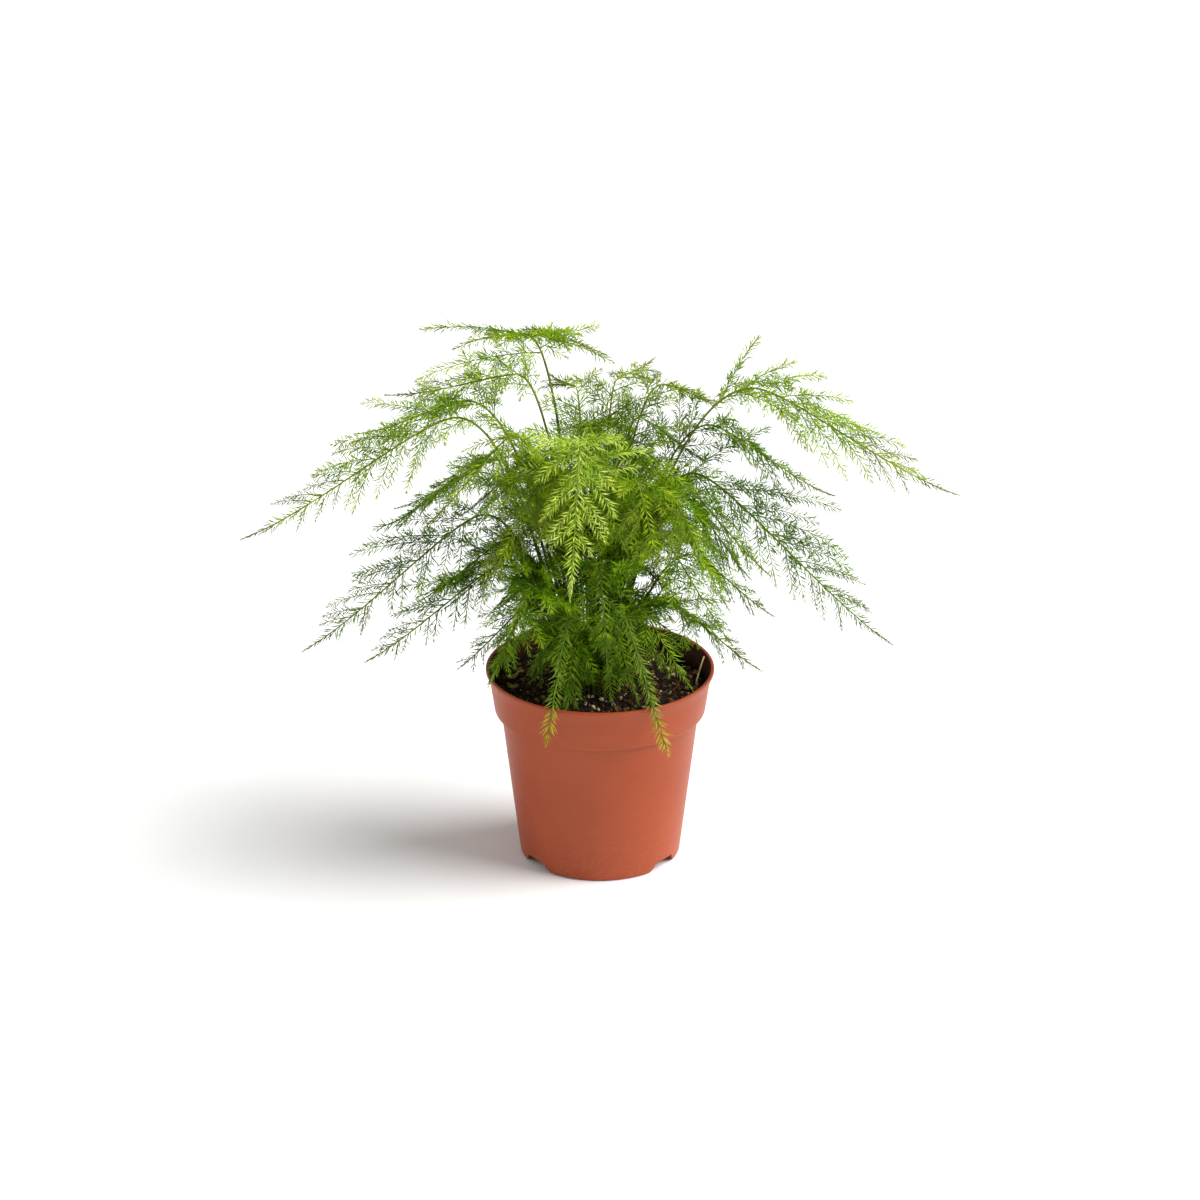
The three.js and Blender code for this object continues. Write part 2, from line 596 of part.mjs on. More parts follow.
// Where the frond's branches stand, with the side, the length and the direction that each would like
function plannedBranches(route, draw) {
  const { bare, spread, opening, roll } = route.frond;
  const leafy = (1 - bare) * route.length;
  const count = Math.floor(leafy / BRANCH_PITCH);
  return Array.from({ length: count }, (_, k) => {
    const share = (k + 0.5) / count;
    const side = k % 2 === 0 ? 1 : -1;
    const longest = side * roll < 0 ? spread * (1 - Math.abs(roll) / LOW_SIDE_ROLL) : spread;
    return {
      at: bare * route.length + share * (leafy - NEEDLE),
      side,
      length: Math.max(SHORTEST_BRANCH, longest * branchShare(share) * lerp(...LENGTH_DRAW, draw())),
      angle: lerp(opening, BRANCH_TIP_ANGLE, share) + ANGLE_DRAW * (draw() - 0.5),
      lift: LIFT_DRAW * (draw() - 0.5),
    };
  });
}

// A point on a branch, which hangs more the farther out it is
function branchPoint(branch, distance) {
  const sag = (BRANCH_SAG * distance * distance) / branch.fullLength;
  return branch.root.clone().addScaledVector(branch.heading, distance).addScaledVector(UP, -sag);
}

function branchStops(branch, from) {
  const count = Math.ceil(branch.length / STOP_STEP);
  const end = branch.length + NEEDLE / 2;
  return Array.from({ length: count + 1 }, (_, k) => branchPoint(branch, lerp(from, end, k / count)));
}

function isBranchClear(branch, thicket, kin) {
  const stops = branchStops(branch, ROOT_FREE);
  return stops.every((p, k) => {
    if (!isOverPot(p)) return false;
    return k === 0 || thicket.isClear(stops[k - 1], p, BRANCH_CLEARANCE, kin);
  });
}

// Points a branch from its root, swings it up or down and at last shortens it, until it is clear.
function aimBranch(branch, axes, thicket, kin) {
  const flat = axes.left.clone().multiplyScalar(branch.side * Math.sin(radians(branch.angle)));
  flat.addScaledVector(axes.along, Math.cos(radians(branch.angle)));
  branch.fullLength = branch.length;
  for (const share of SHORTER) {
    for (const swing of SWINGS) {
      const lift = radians(branch.lift + swing);
      branch.heading = flat.clone().multiplyScalar(Math.cos(lift));
      branch.heading.addScaledVector(axes.above, Math.sin(lift));
      branch.length = Math.max(SHORTEST_BRANCH, branch.fullLength * share);
      if (isBranchClear(branch, thicket, kin)) return true;
    }
  }
  return false;
}

// Grows a branch out of one triangle of the rachis, with its whorls and the needle at its tip.
function growBranch(surface, corners, branch, thicket, kin) {
  const along = (s) => branchPoint(branch, s + 0.5).sub(branchPoint(branch, s - 0.5)).normalize();
  const toFirst = surface.points[corners[0]].clone().sub(branch.root);
  const ringAt = (s) => {
    const ahead = along(s);
    const up = toFirst.clone().projectOnPlane(ahead).normalize();
    const across = ahead.clone().cross(up);
    const radius = lerp(BRANCH_RADIUS, BRANCH_TIP_RADIUS, s / branch.fullLength);
    return ringOfThree(surface, branchPoint(branch, s), up, across, radius);
  };
  const whorls = Math.max(1, Math.round(branch.length / WHORL_STEP));
  let ring = corners;
  for (let k = 1; k <= whorls; k++) {
    const s = (branch.length * k) / (whorls + LAST_WHORL_SPARE);
    const lower = ringAt(s - WHORL);
    const upper = ringAt(s);
    const middle = { point: branchPoint(branch, s - WHORL / 2), along: along(s) };
    surface.band(ring, lower);
    surface.band(lower, upper, (triangle, number) => {
      return growNeedle(surface, triangle, number, middle, thicket, [...kin, branch]);
    });
    ring = upper;
  }
  const stops = branchStops(branch, 0);
  surface.fan(surface.point(stops[stops.length - 1]), ring);
  thicket.add(stops, branch);
}

// Raises a triangle of a whorl to a needle, unless the needle would meet something. The two triangles of
// each face lean to either side of it.
function growNeedle(surface, corners, number, middle, thicket, kin) {
  const { point, along } = middle;
  const faceMiddle = surface.centre(number % 2 === 0 ? corners.slice(0, 2) : corners.slice(1, 3));
  const turn = radians(number % 2 === 0 ? -NEEDLE_SPREAD : NEEDLE_SPREAD);
  const radial = faceMiddle.sub(point).projectOnPlane(along).normalize().applyAxisAngle(along, turn);
  const base = surface.centre(corners);
  const apex = base.clone().addScaledVector(radial, NEEDLE * Math.sin(radians(NEEDLE_LEAN)));
  apex.addScaledVector(along, NEEDLE * Math.cos(radians(NEEDLE_LEAN)));
  if (!isOverPot(apex) || !thicket.isClear(base, apex, NEEDLE_CLEARANCE, kin)) return false;
  thicket.add([base, apex], kin[kin.length - 1]);
  surface.spike(corners, apex);
  return true;
}

// Three points round an axis, the first of them towards up
function ringOfThree(surface, centre, up, across, radius) {
  return [0, 1, 2].map((k) => {
    const turn = (2 * Math.PI * k) / 3;
    const offset = up.clone().multiplyScalar(radius * Math.cos(turn));
    offset.addScaledVector(across, radius * Math.sin(turn));
    return surface.point(centre.clone().add(offset));
  });
}

// A frond as one piece: its buried stem, its bare stem, its rachis with the branches, and its tip
function frondGeometry(route, seed, thicket) {
  const surface = new ClosedSurface();
  const ringAt = (distance) => {
    const { above, left } = route.axes(distance);
    const radius = lerp(STEM_RADIUS, RACHIS_TIP_RADIUS, Math.max(0, distance / route.length));
    const centre = route.point(distance).addScaledVector(route.tangent(0), Math.min(0, distance));
    return ringOfThree(surface, centre, above, left.negate(), radius);
  };
  let ring = ringAt(-STEM_BURIED);
  surface.triangle(ring[0], ring[2], ring[1]);
  const growTo = (distance, grow) => {
    const next = ringAt(distance);
    surface.band(ring, next, grow);
    ring = next;
  };
  const bareLength = route.frond.bare * route.length;
  const bareRings = Math.round(bareLength / STEM_STEP);
  for (let k = 0; k < bareRings; k++) growTo((bareLength * k) / bareRings);
  for (const branch of plannedBranches(route, seededDraws(seed))) {
    const rootTriangle = branch.side > 0 ? 4 : 1;
    growTo(branch.at - BRANCH_ROOT / 2);
    growTo(branch.at + BRANCH_ROOT / 2, (corners, number) => {
      if (number !== rootTriangle) return false;
      branch.root = surface.centre(corners);
      if (!aimBranch(branch, route.axes(branch.at), thicket, [route])) return false;
      growBranch(surface, corners, branch, thicket, [route]);
      return true;
    });
  }
  surface.fan(surface.point(route.point(route.length)), ring);
  return surface.geometry();
}

function routeStops(route) {
  const count = Math.ceil(route.length / ROUTE_STEP);
  return Array.from({ length: count + 1 }, (_, k) => route.point((route.length * k) / count));
}

// The part
const MATERIALS = {
  plastic: new THREE.MeshStandardMaterial({ color: 0xb8603f, roughness: 0.5, metalness: 0 }),
  soil: new THREE.MeshStandardMaterial({ color: 0x2c1f16, roughness: 1, metalness: 0 }),
  foliage: new THREE.MeshStandardMaterial({ color: 0x6fa32a, roughness: 0.6, metalness: 0 }),
  straw: new THREE.MeshStandardMaterial({ color: 0xb59a6a, roughness: 0.8, metalness: 0 }),
  deadWood: new THREE.MeshStandardMaterial({ color: 0x6b5238, roughness: 0.9, metalness: 0 }),
  dryLeaf: new THREE.MeshStandardMaterial({ color: 0x8a6b3c, roughness: 0.85, metalness: 0 }),
};

const plant = new THREE.Group();

function addPiece(name, geometry, material) {
  const piece = new THREE.Mesh(geometry, material);
  piece.name = name;
  plant.add(piece);
}

const routes = FRONDS.map((frond) => new Route(frond));
const thicket = new Thicket();
for (const route of routes) thicket.add(routeStops(route), route);
thicket.add(strawPoints(), "litter");
thicket.add(twigPoints(), "litter");

let soil = solidOf(soilGeometry());
for (const route of routes) soil = soil.subtract(stemHole(route));

addPiece("pot", potGeometry(), MATERIALS.plastic);
addPiece("soil", geometryOf(soil), MATERIALS.soil);
addPiece("dry_straw", rodGeometry(strawPoints(), STRAW.radius), MATERIALS.straw);
addPiece("dead_twig", rodGeometry(twigPoints(), TWIG.radius), MATERIALS.deadWood);
CURLED_LEAVES.forEach((leaf, k) => {
  addPiece(`curled_leaf_${k + 1}`, curledLeafGeometry(leaf), MATERIALS.dryLeaf);
});
routes.forEach((route, k) => {
  addPiece(route.frond.name, frondGeometry(route, k + 1, thicket), MATERIALS.foliage);
});

export default plant;
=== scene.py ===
"""The looks of a potted lace fern: an asparagus fern in a 12 cm nursery pot of moulded plastic.

Every piece is built in mesh code from the CAD model's sizes in millimetres: the turned pot, the peat with its
perlite, the dry litter on it, thirty fronds and forty-eight young ones that fill the middle.
"""

import math
from functools import partial

import bpy
import numpy as np
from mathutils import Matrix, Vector, noise


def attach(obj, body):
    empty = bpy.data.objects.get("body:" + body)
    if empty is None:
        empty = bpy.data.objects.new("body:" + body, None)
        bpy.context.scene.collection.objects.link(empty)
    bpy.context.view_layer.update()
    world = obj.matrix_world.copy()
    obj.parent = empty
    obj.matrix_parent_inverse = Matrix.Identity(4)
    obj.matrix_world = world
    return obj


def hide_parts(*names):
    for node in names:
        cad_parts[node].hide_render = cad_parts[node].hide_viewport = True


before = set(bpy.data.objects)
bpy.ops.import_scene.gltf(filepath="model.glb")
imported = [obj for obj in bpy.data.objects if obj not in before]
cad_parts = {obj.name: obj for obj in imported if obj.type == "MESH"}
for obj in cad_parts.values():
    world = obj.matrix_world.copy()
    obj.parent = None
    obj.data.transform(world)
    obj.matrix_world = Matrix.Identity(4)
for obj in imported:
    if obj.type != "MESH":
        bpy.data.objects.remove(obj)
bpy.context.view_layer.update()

MM = 0.001
UP = np.array([0.0, 0.0, 1.0])

# Pot, as in the CAD model, in mm
POT_HEIGHT = 105.0
RIM_RADIUS = 60.0
LIP_BOTTOM = 98.0
LIP_RADIUS = 57.8
COLLAR_BOTTOM = 81.2
COLLAR_RADIUS = 55.4
WALL_TOP_RADIUS = 52.0
BASE_RADIUS = 42.4
FOOT_INNER = 38.6
WALL = 1.2
FLOOR_UNDERSIDE = 6.0
FLOOR_TOP = 7.4
FRONT = -90  # heading of the front, in degrees from +X
NOTCH_ANGLES = (-127, -53, 53, 127)  # degrees from the middle of the front
NOTCH_ROOF = 15.5
NOTCH_MOUTH = 25.0
NOTCH_HEIGHT = 5.4
NOTCH_ROUNDING = 2.4
DRAIN_RADIUS = 4.5
DRAIN_FROM_AXIS = 32.0
DRAIN_SIDES = 32
CUT_SPARE = 2.0
NOTCH_DEPTHS = (FOOT_INNER - 5, BASE_RADIUS + 3)  # the room of a notch, right through the foot
NOTCH_BOTTOM = -1
POT_SEGMENTS = 160
ROUNDING_STEPS = 6
SMOOTH_UP_TO = 35  # degrees
STAINED_AND_SHADED = (FLOOR_UNDERSIDE + 0.7, POT_HEIGHT - 1.2)  # heights between which the inside is stained and in painted shade
LOOKS_OUT = 0.2  # least cosine between the way a face looks and the way out, for it to be outside

# Soil
SOIL_TOP = 93.0
SOIL_GAP = 0.3
SOIL_EDGE = 1.8  # rounding at its bottom edge
SOIL_SHY = 0.2  # more room where the wall bends
SOIL_SHOULDER = 2.5  # from its top down to where its side ends
SOIL_SECTORS = 220
SOIL_RINGS = 54
CLOD_HEIGHT = 1.6
LUMP_SIZE, LUMP_RISE = 3.4, 0.9
CRUMB_SIZE, CRUMB_RISE = 1.3, 0.55
PIT_SIZE, PIT_DEPTH = 7.0, 0.8
PERLITE_GRAINS = 230
PEAT_CRUMBS = 620
SCATTER_REACH = 0.97  # of the way to the wall
SMALLNESS = 2.2  # the higher, the fewer grains are large
PEAT_FIBRES = 60
FIBRE_REACH = 0.8
FIBRE_LENGTH = (4, 11)
FIBRE_RADIUS = (0.12, 0.26)
FIBRE_BEND = 2
FIBRE_LIFT, FIBRE_ARCH = 0.1, 0.9
FIBRE_STOPS = 6

# Litter, where the CAD model has it. A place is a distance from the axis and a heading.
STRAW_FROM, STRAW_TO = (50.5, 2), (56.8, 15)
STRAW_LIFT = 1.2
STRAW_TOP = 104
STRAW_RADIUS = 0.45
STRAW_JOINT = {5: 0.54, 6: 0.52}  # its thicker stops
STRAW_STOPS = 14
TWIG_FROM, TWIG_TO = (16, -73), (34, -74)
TWIG_LIFT = 0.75
TWIG_RADII = (0.42, 0.3)
TWIG_KNOTS, KNOT_TURN = 0.05, 2.1  # how far they stand out, and the wave's angle from stop to stop
TWIG_STOPS = 12
ROD_BEND = 0.8  # of the straw and the twig
CURLED_LEAVES = ((47, 170, 30, 10), (45, 159, 100, 8), (46, 183, 150, 9))  # place, turn and length
LEAF_WIDTH = 3.6
LEAF_THICKNESS = 0.5
LEAF_CURL = math.radians(130)
LEAF_ENDS = 0.12  # half its width there, as a share of its width
LEAF_WAVE, WAVE_TURN = 0.08, 2.3  # the same for its edge
LEAF_CUP = 0.5
LEAF_LIFT = 0.7
LEAF_STEPS = 18
LEAF_LANES = 8

# Crown and fronds, as in the CAD model
CROWN = np.array([-5.0, 2.0, 0.0])
STEM_BURIED = 12.0
STEM_RADII = (0.85, 0.62, 0.26)  # at the soil, at the lowest branch and at the tip
STEM_LEAN = 0.22
SHOULDER = 0.45
LEVEL_RUN = 0.16
TIP_RUN = 0.34
TIP_HANG = 0.07
BRANCH_PITCH = 10.0
BRANCH_TIP_ANGLE = 38.0
BRANCH_SAG = 0.2
SHORTEST_BRANCH = 7.0
LOW_SIDE_ROLL = 56.0
FIRST_BRANCH = 0.7
BRANCH_SWELL = 2.2
BRANCH_TAPER = 0.86
SHORTEST_DRAW = 0.82
LONGEST_DRAW = 1.12
ANGLE_DRAW = 10.0
LIFT_DRAW = 14.0
NEEDLE = 5.5  # also what a frond's tip keeps free of branches

# Detail that is finer than the CAD model's
ROUTE_STOPS = 120  # on a frond's rise, and on its fall
ROUTE_PROBE = 0.5  # to each side of a point, for the direction there
ROUTE_END = 0.6  # how near to its ends the direction is taken
STEM_STEP = 3.5  # between the rings of a stem
STEM_SIDES, RACHIS_SIDES, BRANCH_SIDES, BRANCHLET_SIDES = 8, 6, 4, 3
BRANCH_RADII = (0.34, 0.14)
TWIN_STEP = (2, 5)  # from one of the CAD model's branches up to the one across from it
TWIN_LENGTH = (0.78, 0.98)  # as a share of that one's
TWIN_TURN, TWIN_LIFT = 5, 6  # degrees between them at most
BRANCH_TUFTS = 4.0  # to its first tuft
YOUNG_FROM = 0.55  # share of a branch beyond which its needles are young
BRANCHLET_PITCH = 5.2  # along a side branch, to its left and right in turn
BRANCHLETS_FROM = 3.5
BRANCHLET_RADII = (0.18, 0.098)
BRANCHLET_TUFTS = 2.0
LONGEST_BRANCHLET = 16.0
SHORTEST_BRANCHLET = 4.5
BRANCHLET_SHARE = 0.64  # of a side branch's length, beyond which it bears needles alone
BRANCHLET_LENGTH = (1.6, 0.42)  # at the end of that share, and more for each mm before it
BRANCHLET_DRAW = (0.8, 1.15)
BRANCHLET_ANGLE = (54, 14)  # degrees off the side branch at its root, and less at its tip
BRANCHLET_SWAY, BRANCHLET_LIFT = 7, 24
BRANCHLET_YOUNG_FROM = 0.45  # as YOUNG_FROM, on a branch's inner half, beyond which they are all young
RAT_TAIL = 38.0  # the last stretch of a frond, with needles alone, at most
RAT_TAIL_SHARES = (0.13, 0.28)  # of the leafy part, on fronds of the next two lengths
RAT_TAIL_LENGTHS = (200.0, 260.0)
FEATHER_SPREAD = 24.0  # a frond whose branches are no longer than this is mostly a plain feather
FEATHER_SHARE = 0.75  # of its leafy part, the last stretch of which has needles alone
PLAIN_SHARE = 0.56  # of the leafy part, beyond which all branches are plain feathers
FADED_TIP = 20.0  # the last stretch of a frond, with needles of the plain feathers' colour

# Needles, in tufts. Sizes and angles in pairs are those at the tip of a wire and elsewhere.
TUFT_PITCH = 2.2
PLAIN_TUFT_PITCH = 1.8  # on a plain feather
RACHIS_TUFT_PITCH = 3.3  # on a frond's own stem
NEEDLES_A_TUFT = 4
NEEDLE_BREADTH = 0.096  # where it is widest, as a share of its length
NEEDLE_BELLY = 0.42  # share of its length at which it is widest
NEEDLE_FLATTENING = 0.5  # how far needles stand out of the frond's face, against those within it
NEEDLE_TURN = 0.35  # radians
NEEDLE_SWAY = 13  # degrees
NEEDLE_DRAW = (0.72, 1.12)
NEEDLE_SHIFT = 0.4
SINE_60 = 0.87
NUDGE = 1e-4  # so that a needle in line with its wire has a side too
TWIG_STEP = 4.0  # between the rings of a branch
TWIG_TIP = 5.0  # the last stretch of a branch, over which its needles close up and shorten
TWIG_NEEDLE = (3.2, 6.8)
TWIG_LEAN = (17.0, 46.0)  # degrees off the wire
PLAIN_NEEDLE = (2.6, 5.2)  # on a plain feather
FROND_TIP = 20.0  # as TWIG_TIP, at the end of a frond
FEATHER_TIP = 9.0  # the same for a frond that is mostly a plain feather
FROND_NEEDLE = (2.8, 7.2)
FROND_LEAN = (14.0, 47.0)
TAIL_OVERLAP = 8  # of the tail's closer tufts with the last branches

# Papery scale leaves up the bare stem
SCALE_FROM = 9
SCALE_PITCH = 13
SCALE_SHIFT = 3
SCALE_HALF_WIDTH = 0.45
SCALE_LENGTH = 2.1
SCALE_BULGE, SCALE_SPLAY = 0.35, 0.55

# Every frond: name, finish, heading, foot, crest out, crest up, tip out, tip up, swing, roll, bare share,
# longest branch, opening. Angles are in degrees, headings from +X, distances in mm from the crown, heights
# above the table.
FRONDS = (
    ("top_left", "fresh", 128, 5, 50, 274, 83, 263, -30, 14, 0.73, 96, 80),
    ("top_left_front", "fresh", 170, 4, 38, 266, 106, 252, 3, -14, 0.66, 46, 50),
    ("left_long", "fresh", 187, 12, 70, 248, 181, 186, 0, -22, 0.54, 60, 52),
    ("left_back_high", "grown", 162, 8, 66, 246, 132, 216, -4, -14, 0.6, 50, 52),
    ("left_middle", "grown", 174, 9, 58, 212, 103, 186, -5, -16, 0.42, 44, 52),
    ("left_low_outer", "old", 196, 14, 58, 197, 154, 132, 0, -26, 0.47, 60, 50),
    ("left_low_middle", "old", 208, 12, 53, 172, 128, 132, -2, -24, 0.42, 50, 50),
    ("left_low_inner", "old", 214, 15, 40, 148, 78, 121, -4, -20, 0.34, 32, 50),
    ("right_long", "fresh", -2, 8, 84, 262, 190, 207, -2, 14, 0.54, 72, 46),
    ("right_low_outer", "old", -16, 12, 56, 220, 161, 137, 0, 24, 0.48, 80, 46),
    ("right_back", "old", 24, 11, 66, 230, 140, 178, 0, 18, 0.48, 54, 46),
    ("right_middle", "old", 8, 14, 53, 165, 98, 125, 3, 18, 0.36, 48, 50),
    ("right_low", "old", -28, 15, 48, 150, 91, 112, 14, 14, 0.34, 38, 50),
    ("front_bright", "new", 264, 10, 45, 250, 96, 184, 0, 0, 0.46, 48, 60),
    ("front_right", "fresh", 300, 9, 46, 226, 90, 188, -6, 0, 0.42, 46, 60),
    ("front_left", "fresh", 236, 8, 44, 222, 90, 180, -3, 0, 0.42, 44, 60),
    ("front_left_high", "fresh", 216, 7, 50, 246, 98, 206, -4, 0, 0.48, 44, 60),
    ("front_right_low", "grown", 318, 10, 50, 190, 100, 148, -2, 0, 0.38, 42, 60),
    ("front_low", "deep", 277, 14, 38, 178, 74, 134, 0, 0, 0.34, 36, 60),
    ("rim_left", "rim", 252, 16, 36, 146, 74, 92, 0, 0, 0.3, 20, 60),
    ("rim_right", "rim", 296, 16, 40, 148, 80, 86, 4, 0, 0.3, 22, 60),
    ("top_back", "fresh", 104, 4, 30, 250, 64, 246, 6, 0, 0.54, 44, 60),
    ("top_right_back", "fresh", 66, 6, 34, 254, 76, 251, -2, 0, 0.52, 46, 60),
    ("top_right", "fresh", 38, 5, 46, 252, 88, 232, 0, 0, 0.48, 48, 60),
    ("back_left", "deep", 146, 13, 60, 208, 126, 158, 4, 0, 0.4, 48, 60),
    ("back_middle", "grown", 88, 11, 50, 222, 95, 182, 0, 0, 0.44, 44, 60),
    ("back_low_right", "deep", 56, 13, 48, 182, 104, 136, 0, 0, 0.38, 42, 60),
    ("back_low_left", "deep", 118, 13, 46, 174, 102, 128, 0, 0, 0.38, 42, 60),
    ("low_left", "deep", 232, 14, 28, 132, 46, 116, -3, 0, 0.32, 22, 60),
    ("low_right", "deep", -6, 16, 30, 134, 52, 117, 6, 0, 0.32, 24, 60),
)

# Young fronds that the CAD model leaves out: group, how many, finishes and the span of their headings, then
# the ranges from which each draws its foot, crest out, crest up, run and fall to its tip, bare share and
# longest branch. The inner ones stand all round the crown, the low ones at its front.
YOUNG_FRONDS = (
    ("inner", 18, ("grown", "deep", "grown"), (0, 360),
     (5, 15), (21, 40), (126, 168), (20, 36), (18, 40), (0.14, 0.22), (26, 36)),
    ("upper", 12, ("fresh", "grown", "grown", "deep"), (176, 372),
     (4, 9), (20, 38), (204, 248), (26, 44), (14, 34), (0.3, 0.42), (32, 44)),
    ("right", 6, ("grown", "grown", "deep"), (-44, 52),
     (6, 12), (36, 52), (178, 224), (34, 50), (34, 56), (0.36, 0.46), (42, 54)),
    ("left", 4, ("deep", "grown"), (168, 236),
     (8, 14), (36, 50), (150, 182), (30, 44), (26, 44), (0.32, 0.4), (36, 46)),
    ("low", 8, ("grown", "deep"), (205, 345),
     (9, 16), (21, 30), (112, 130), (12, 20), (6, 16), (0.08, 0.16), (20, 26)),
)
YOUNG_SWING = 8  # degrees
YOUNG_OPENING = 62
YOUNG_LOWEST_TIP = 104

# Stage and camera
FLOOR_HALF = 6000  # half its width
CAMERA_AWAY = 3.0  # metres
CAMERA_ELEVATION = 23.348
CAMERA_AIM = 142.99  # height
LENS, SENSOR = 172.28, 36


# Colours and materials
def linear(srgb_hex):
    """The linear colour of an sRGB hex value such as '#B8603F'."""
    shades = [int(srgb_hex[k : k + 2], 16) / 255 for k in (1, 3, 5)]
    return tuple(s / 12.92 if s <= 0.04045 else ((s + 0.055) / 1.055) ** 2.4 for s in shades) + (1.0,)


def per_metre(size_mm):
    """The scale of a pattern whose lumps are about size_mm across."""
    return 1 / (size_mm * MM)


def add_node(material, kind, settings):
    """Adds a node. settings are its properties, its ramp's stops as (position, hex), and its sockets, each
    with a value or what feeds it: a socket, or a node for that node's first one."""
    node = material.node_tree.nodes.new(f"ShaderNode{kind}")
    for key, value in settings.items():
        if key == "stops":
            bands = node.color_ramp.elements
            while len(bands) < len(value):
                bands.new(0.5)
            for band, (position, shade) in zip(bands, value):
                band.position = position
                band.color = linear(shade)
        elif isinstance(value, (bpy.types.Node, bpy.types.NodeSocket)):
            feed = value.outputs[0] if isinstance(value, bpy.types.Node) else value
            material.node_tree.links.new(feed, node.inputs[key])
        elif isinstance(key, int) or key in node.inputs:
            node.inputs[key].default_value = value
        else:
            setattr(node, key, value)
    return node


# Sockets of a Mix node: its factor, the two numbers or the two colours that go in, and the colour out
FACTOR, NUMBER_A, NUMBER_B, COLOUR_A, COLOUR_B = 0, 2, 3, 6, 7
COLOUR_OUT = 2


def new_material(name):
    """An empty material, what adds a node to it, and the place in metres that its patterns follow."""
    material = bpy.data.materials.new(name)
    material.use_nodes = True
    material.node_tree.nodes.clear()
    add = partial(add_node, material)
    return material, add, add("TexCoord", {}).outputs["Object"]


def moulded_polypropylene():
    """Injection-moulded polypropylene, coloured through: a satin skin with a soft highlight, a very fine
    orange peel, faint clouds and level streaks where the melt flowed, and pale scuffs near the foot."""
    material, add, where = new_material("moulded_polypropylene")
    clouds = add("TexNoise", {"Scale": per_metre(38), "Detail": 2.0, "Vector": where})
    body = add("ValToRGB", {"stops": ((0.3, "#9A3F1A"), (0.7, "#A54820")), "Fac": clouds})
    level = add("Mapping", {"Scale": (1.0, 1.0, 8.0), "Vector": where})
    flow = add("TexNoise", {"Scale": per_metre(16), "Detail": 3.0, "Vector": level})
    streaks = add("ValToRGB", {"stops": ((0.3, "#9B411C"), (0.7, "#A44720")), "Fac": flow})
    plain = add("Mix", {"data_type": "RGBA", FACTOR: 0.4, COLOUR_A: body, COLOUR_B: streaks})
    # Scuffs are fine dashes about 1.6 mm long, on the lowest 34 mm of the wall and thickest near its foot.
    rubs = add("TexNoise", {"Scale": per_metre(1.6), "Detail": 5.0, "Vector": level})
    height = add("SeparateXYZ", {"Vector": where}).outputs["Z"]
    lowness = add("MapRange", {"From Min": 34 * MM, "From Max": 2 * MM, "To Max": 0.34, "Value": height})
    rubbed = add("MapRange", {"From Min": 0.58, "From Max": 0.7, "To Max": lowness, "Value": rubs})
    whole = plain.outputs[COLOUR_OUT]
    colour = add("Mix", {"data_type": "RGBA", FACTOR: rubbed, COLOUR_A: whole, COLOUR_B: linear("#D9A58C")})
    peel = add("TexNoise", {"Scale": per_metre(1.1), "Detail": 2.0, "Vector": where})
    gloss = add("MapRange", {"From Min": 0.3, "From Max": 0.7, "To Min": 0.4, "To Max": 0.5, "Value": peel})
    relief = add("Bump", {"Distance": 0.05 * MM, "Strength": 0.5, "Height": peel})
    look = {"Base Color": colour.outputs[COLOUR_OUT], "Roughness": gloss, "Normal": relief}
    skin = add("BsdfPrincipled", {"IOR": 1.49, "Specular IOR Level": 0.34, **look})
    add("OutputMaterial", {"Surface": skin})
    return material


def stained_and_shaded_polypropylene():
    """The inside of the same moulding: brown with peat near the rim, and almost black where it is wet,
    and darker still with painted shade, most of all down by the soil.
    """
    material, add, where = new_material("stained_and_shaded_polypropylene")
    stains = add("TexNoise", {"Scale": per_metre(9), "Detail": 6.0, "Vector": where})
    height = add("SeparateXYZ", {"Vector": where}).outputs["Z"]
    heights = {"From Min": SOIL_TOP * MM, "From Max": POT_HEIGHT * MM}
    # Painted shade, together with the wet peat: the inside darkens from the rim down to the soil.
    dryness_and_light = add("MapRange", {**heights, "To Min": -0.25, "To Max": 0.35, "Value": height})
    both = add("Math", {"operation": "ADD", 0: stains, 1: dryness_and_light})
    stops = ((0.28, "#190E08"), (0.5, "#3C2014"), (0.7, "#552917"), (0.95, "#74381F"))
    colour = add("ValToRGB", {"stops": stops, "Fac": both})
    relief = add("Bump", {"Distance": 0.3 * MM, "Strength": 0.5, "Height": stains})
    look = {"Roughness": 0.6, "IOR": 1.49, "Specular IOR Level": 0.15}
    skin = add("BsdfPrincipled", {**look, "Base Color": colour, "Normal": relief})
    add("OutputMaterial", {"Surface": skin})
    return material


def cladode_skin(name, dark, middle, bright):
    """The needles are cladodes, tiny green shoots with a thin wax skin: silky, never glossy, their green
    changing with age over about 16 mm and from tuft to tuft, 2 mm apart."""
    material, add, where = new_material(name)
    patches = add("TexNoise", {"Scale": per_metre(16), "Detail": 2.0, "Vector": where})
    tufts = add("TexNoise", {"Scale": per_metre(TUFT_PITCH), "Detail": 2.0, "Vector": where})
    both = add("Mix", {"data_type": "FLOAT", FACTOR: 0.45, NUMBER_A: patches, NUMBER_B: tufts})
    colour = add("ValToRGB", {"stops": ((0.38, dark), (0.5, middle), (0.62, bright)), "Fac": both})
    look = {"Roughness": 0.62, "IOR": 1.4, "Specular IOR Level": 0.04}
    add("OutputMaterial", {"Surface": add("BsdfPrincipled", {**look, "Base Color": colour})})
    return material


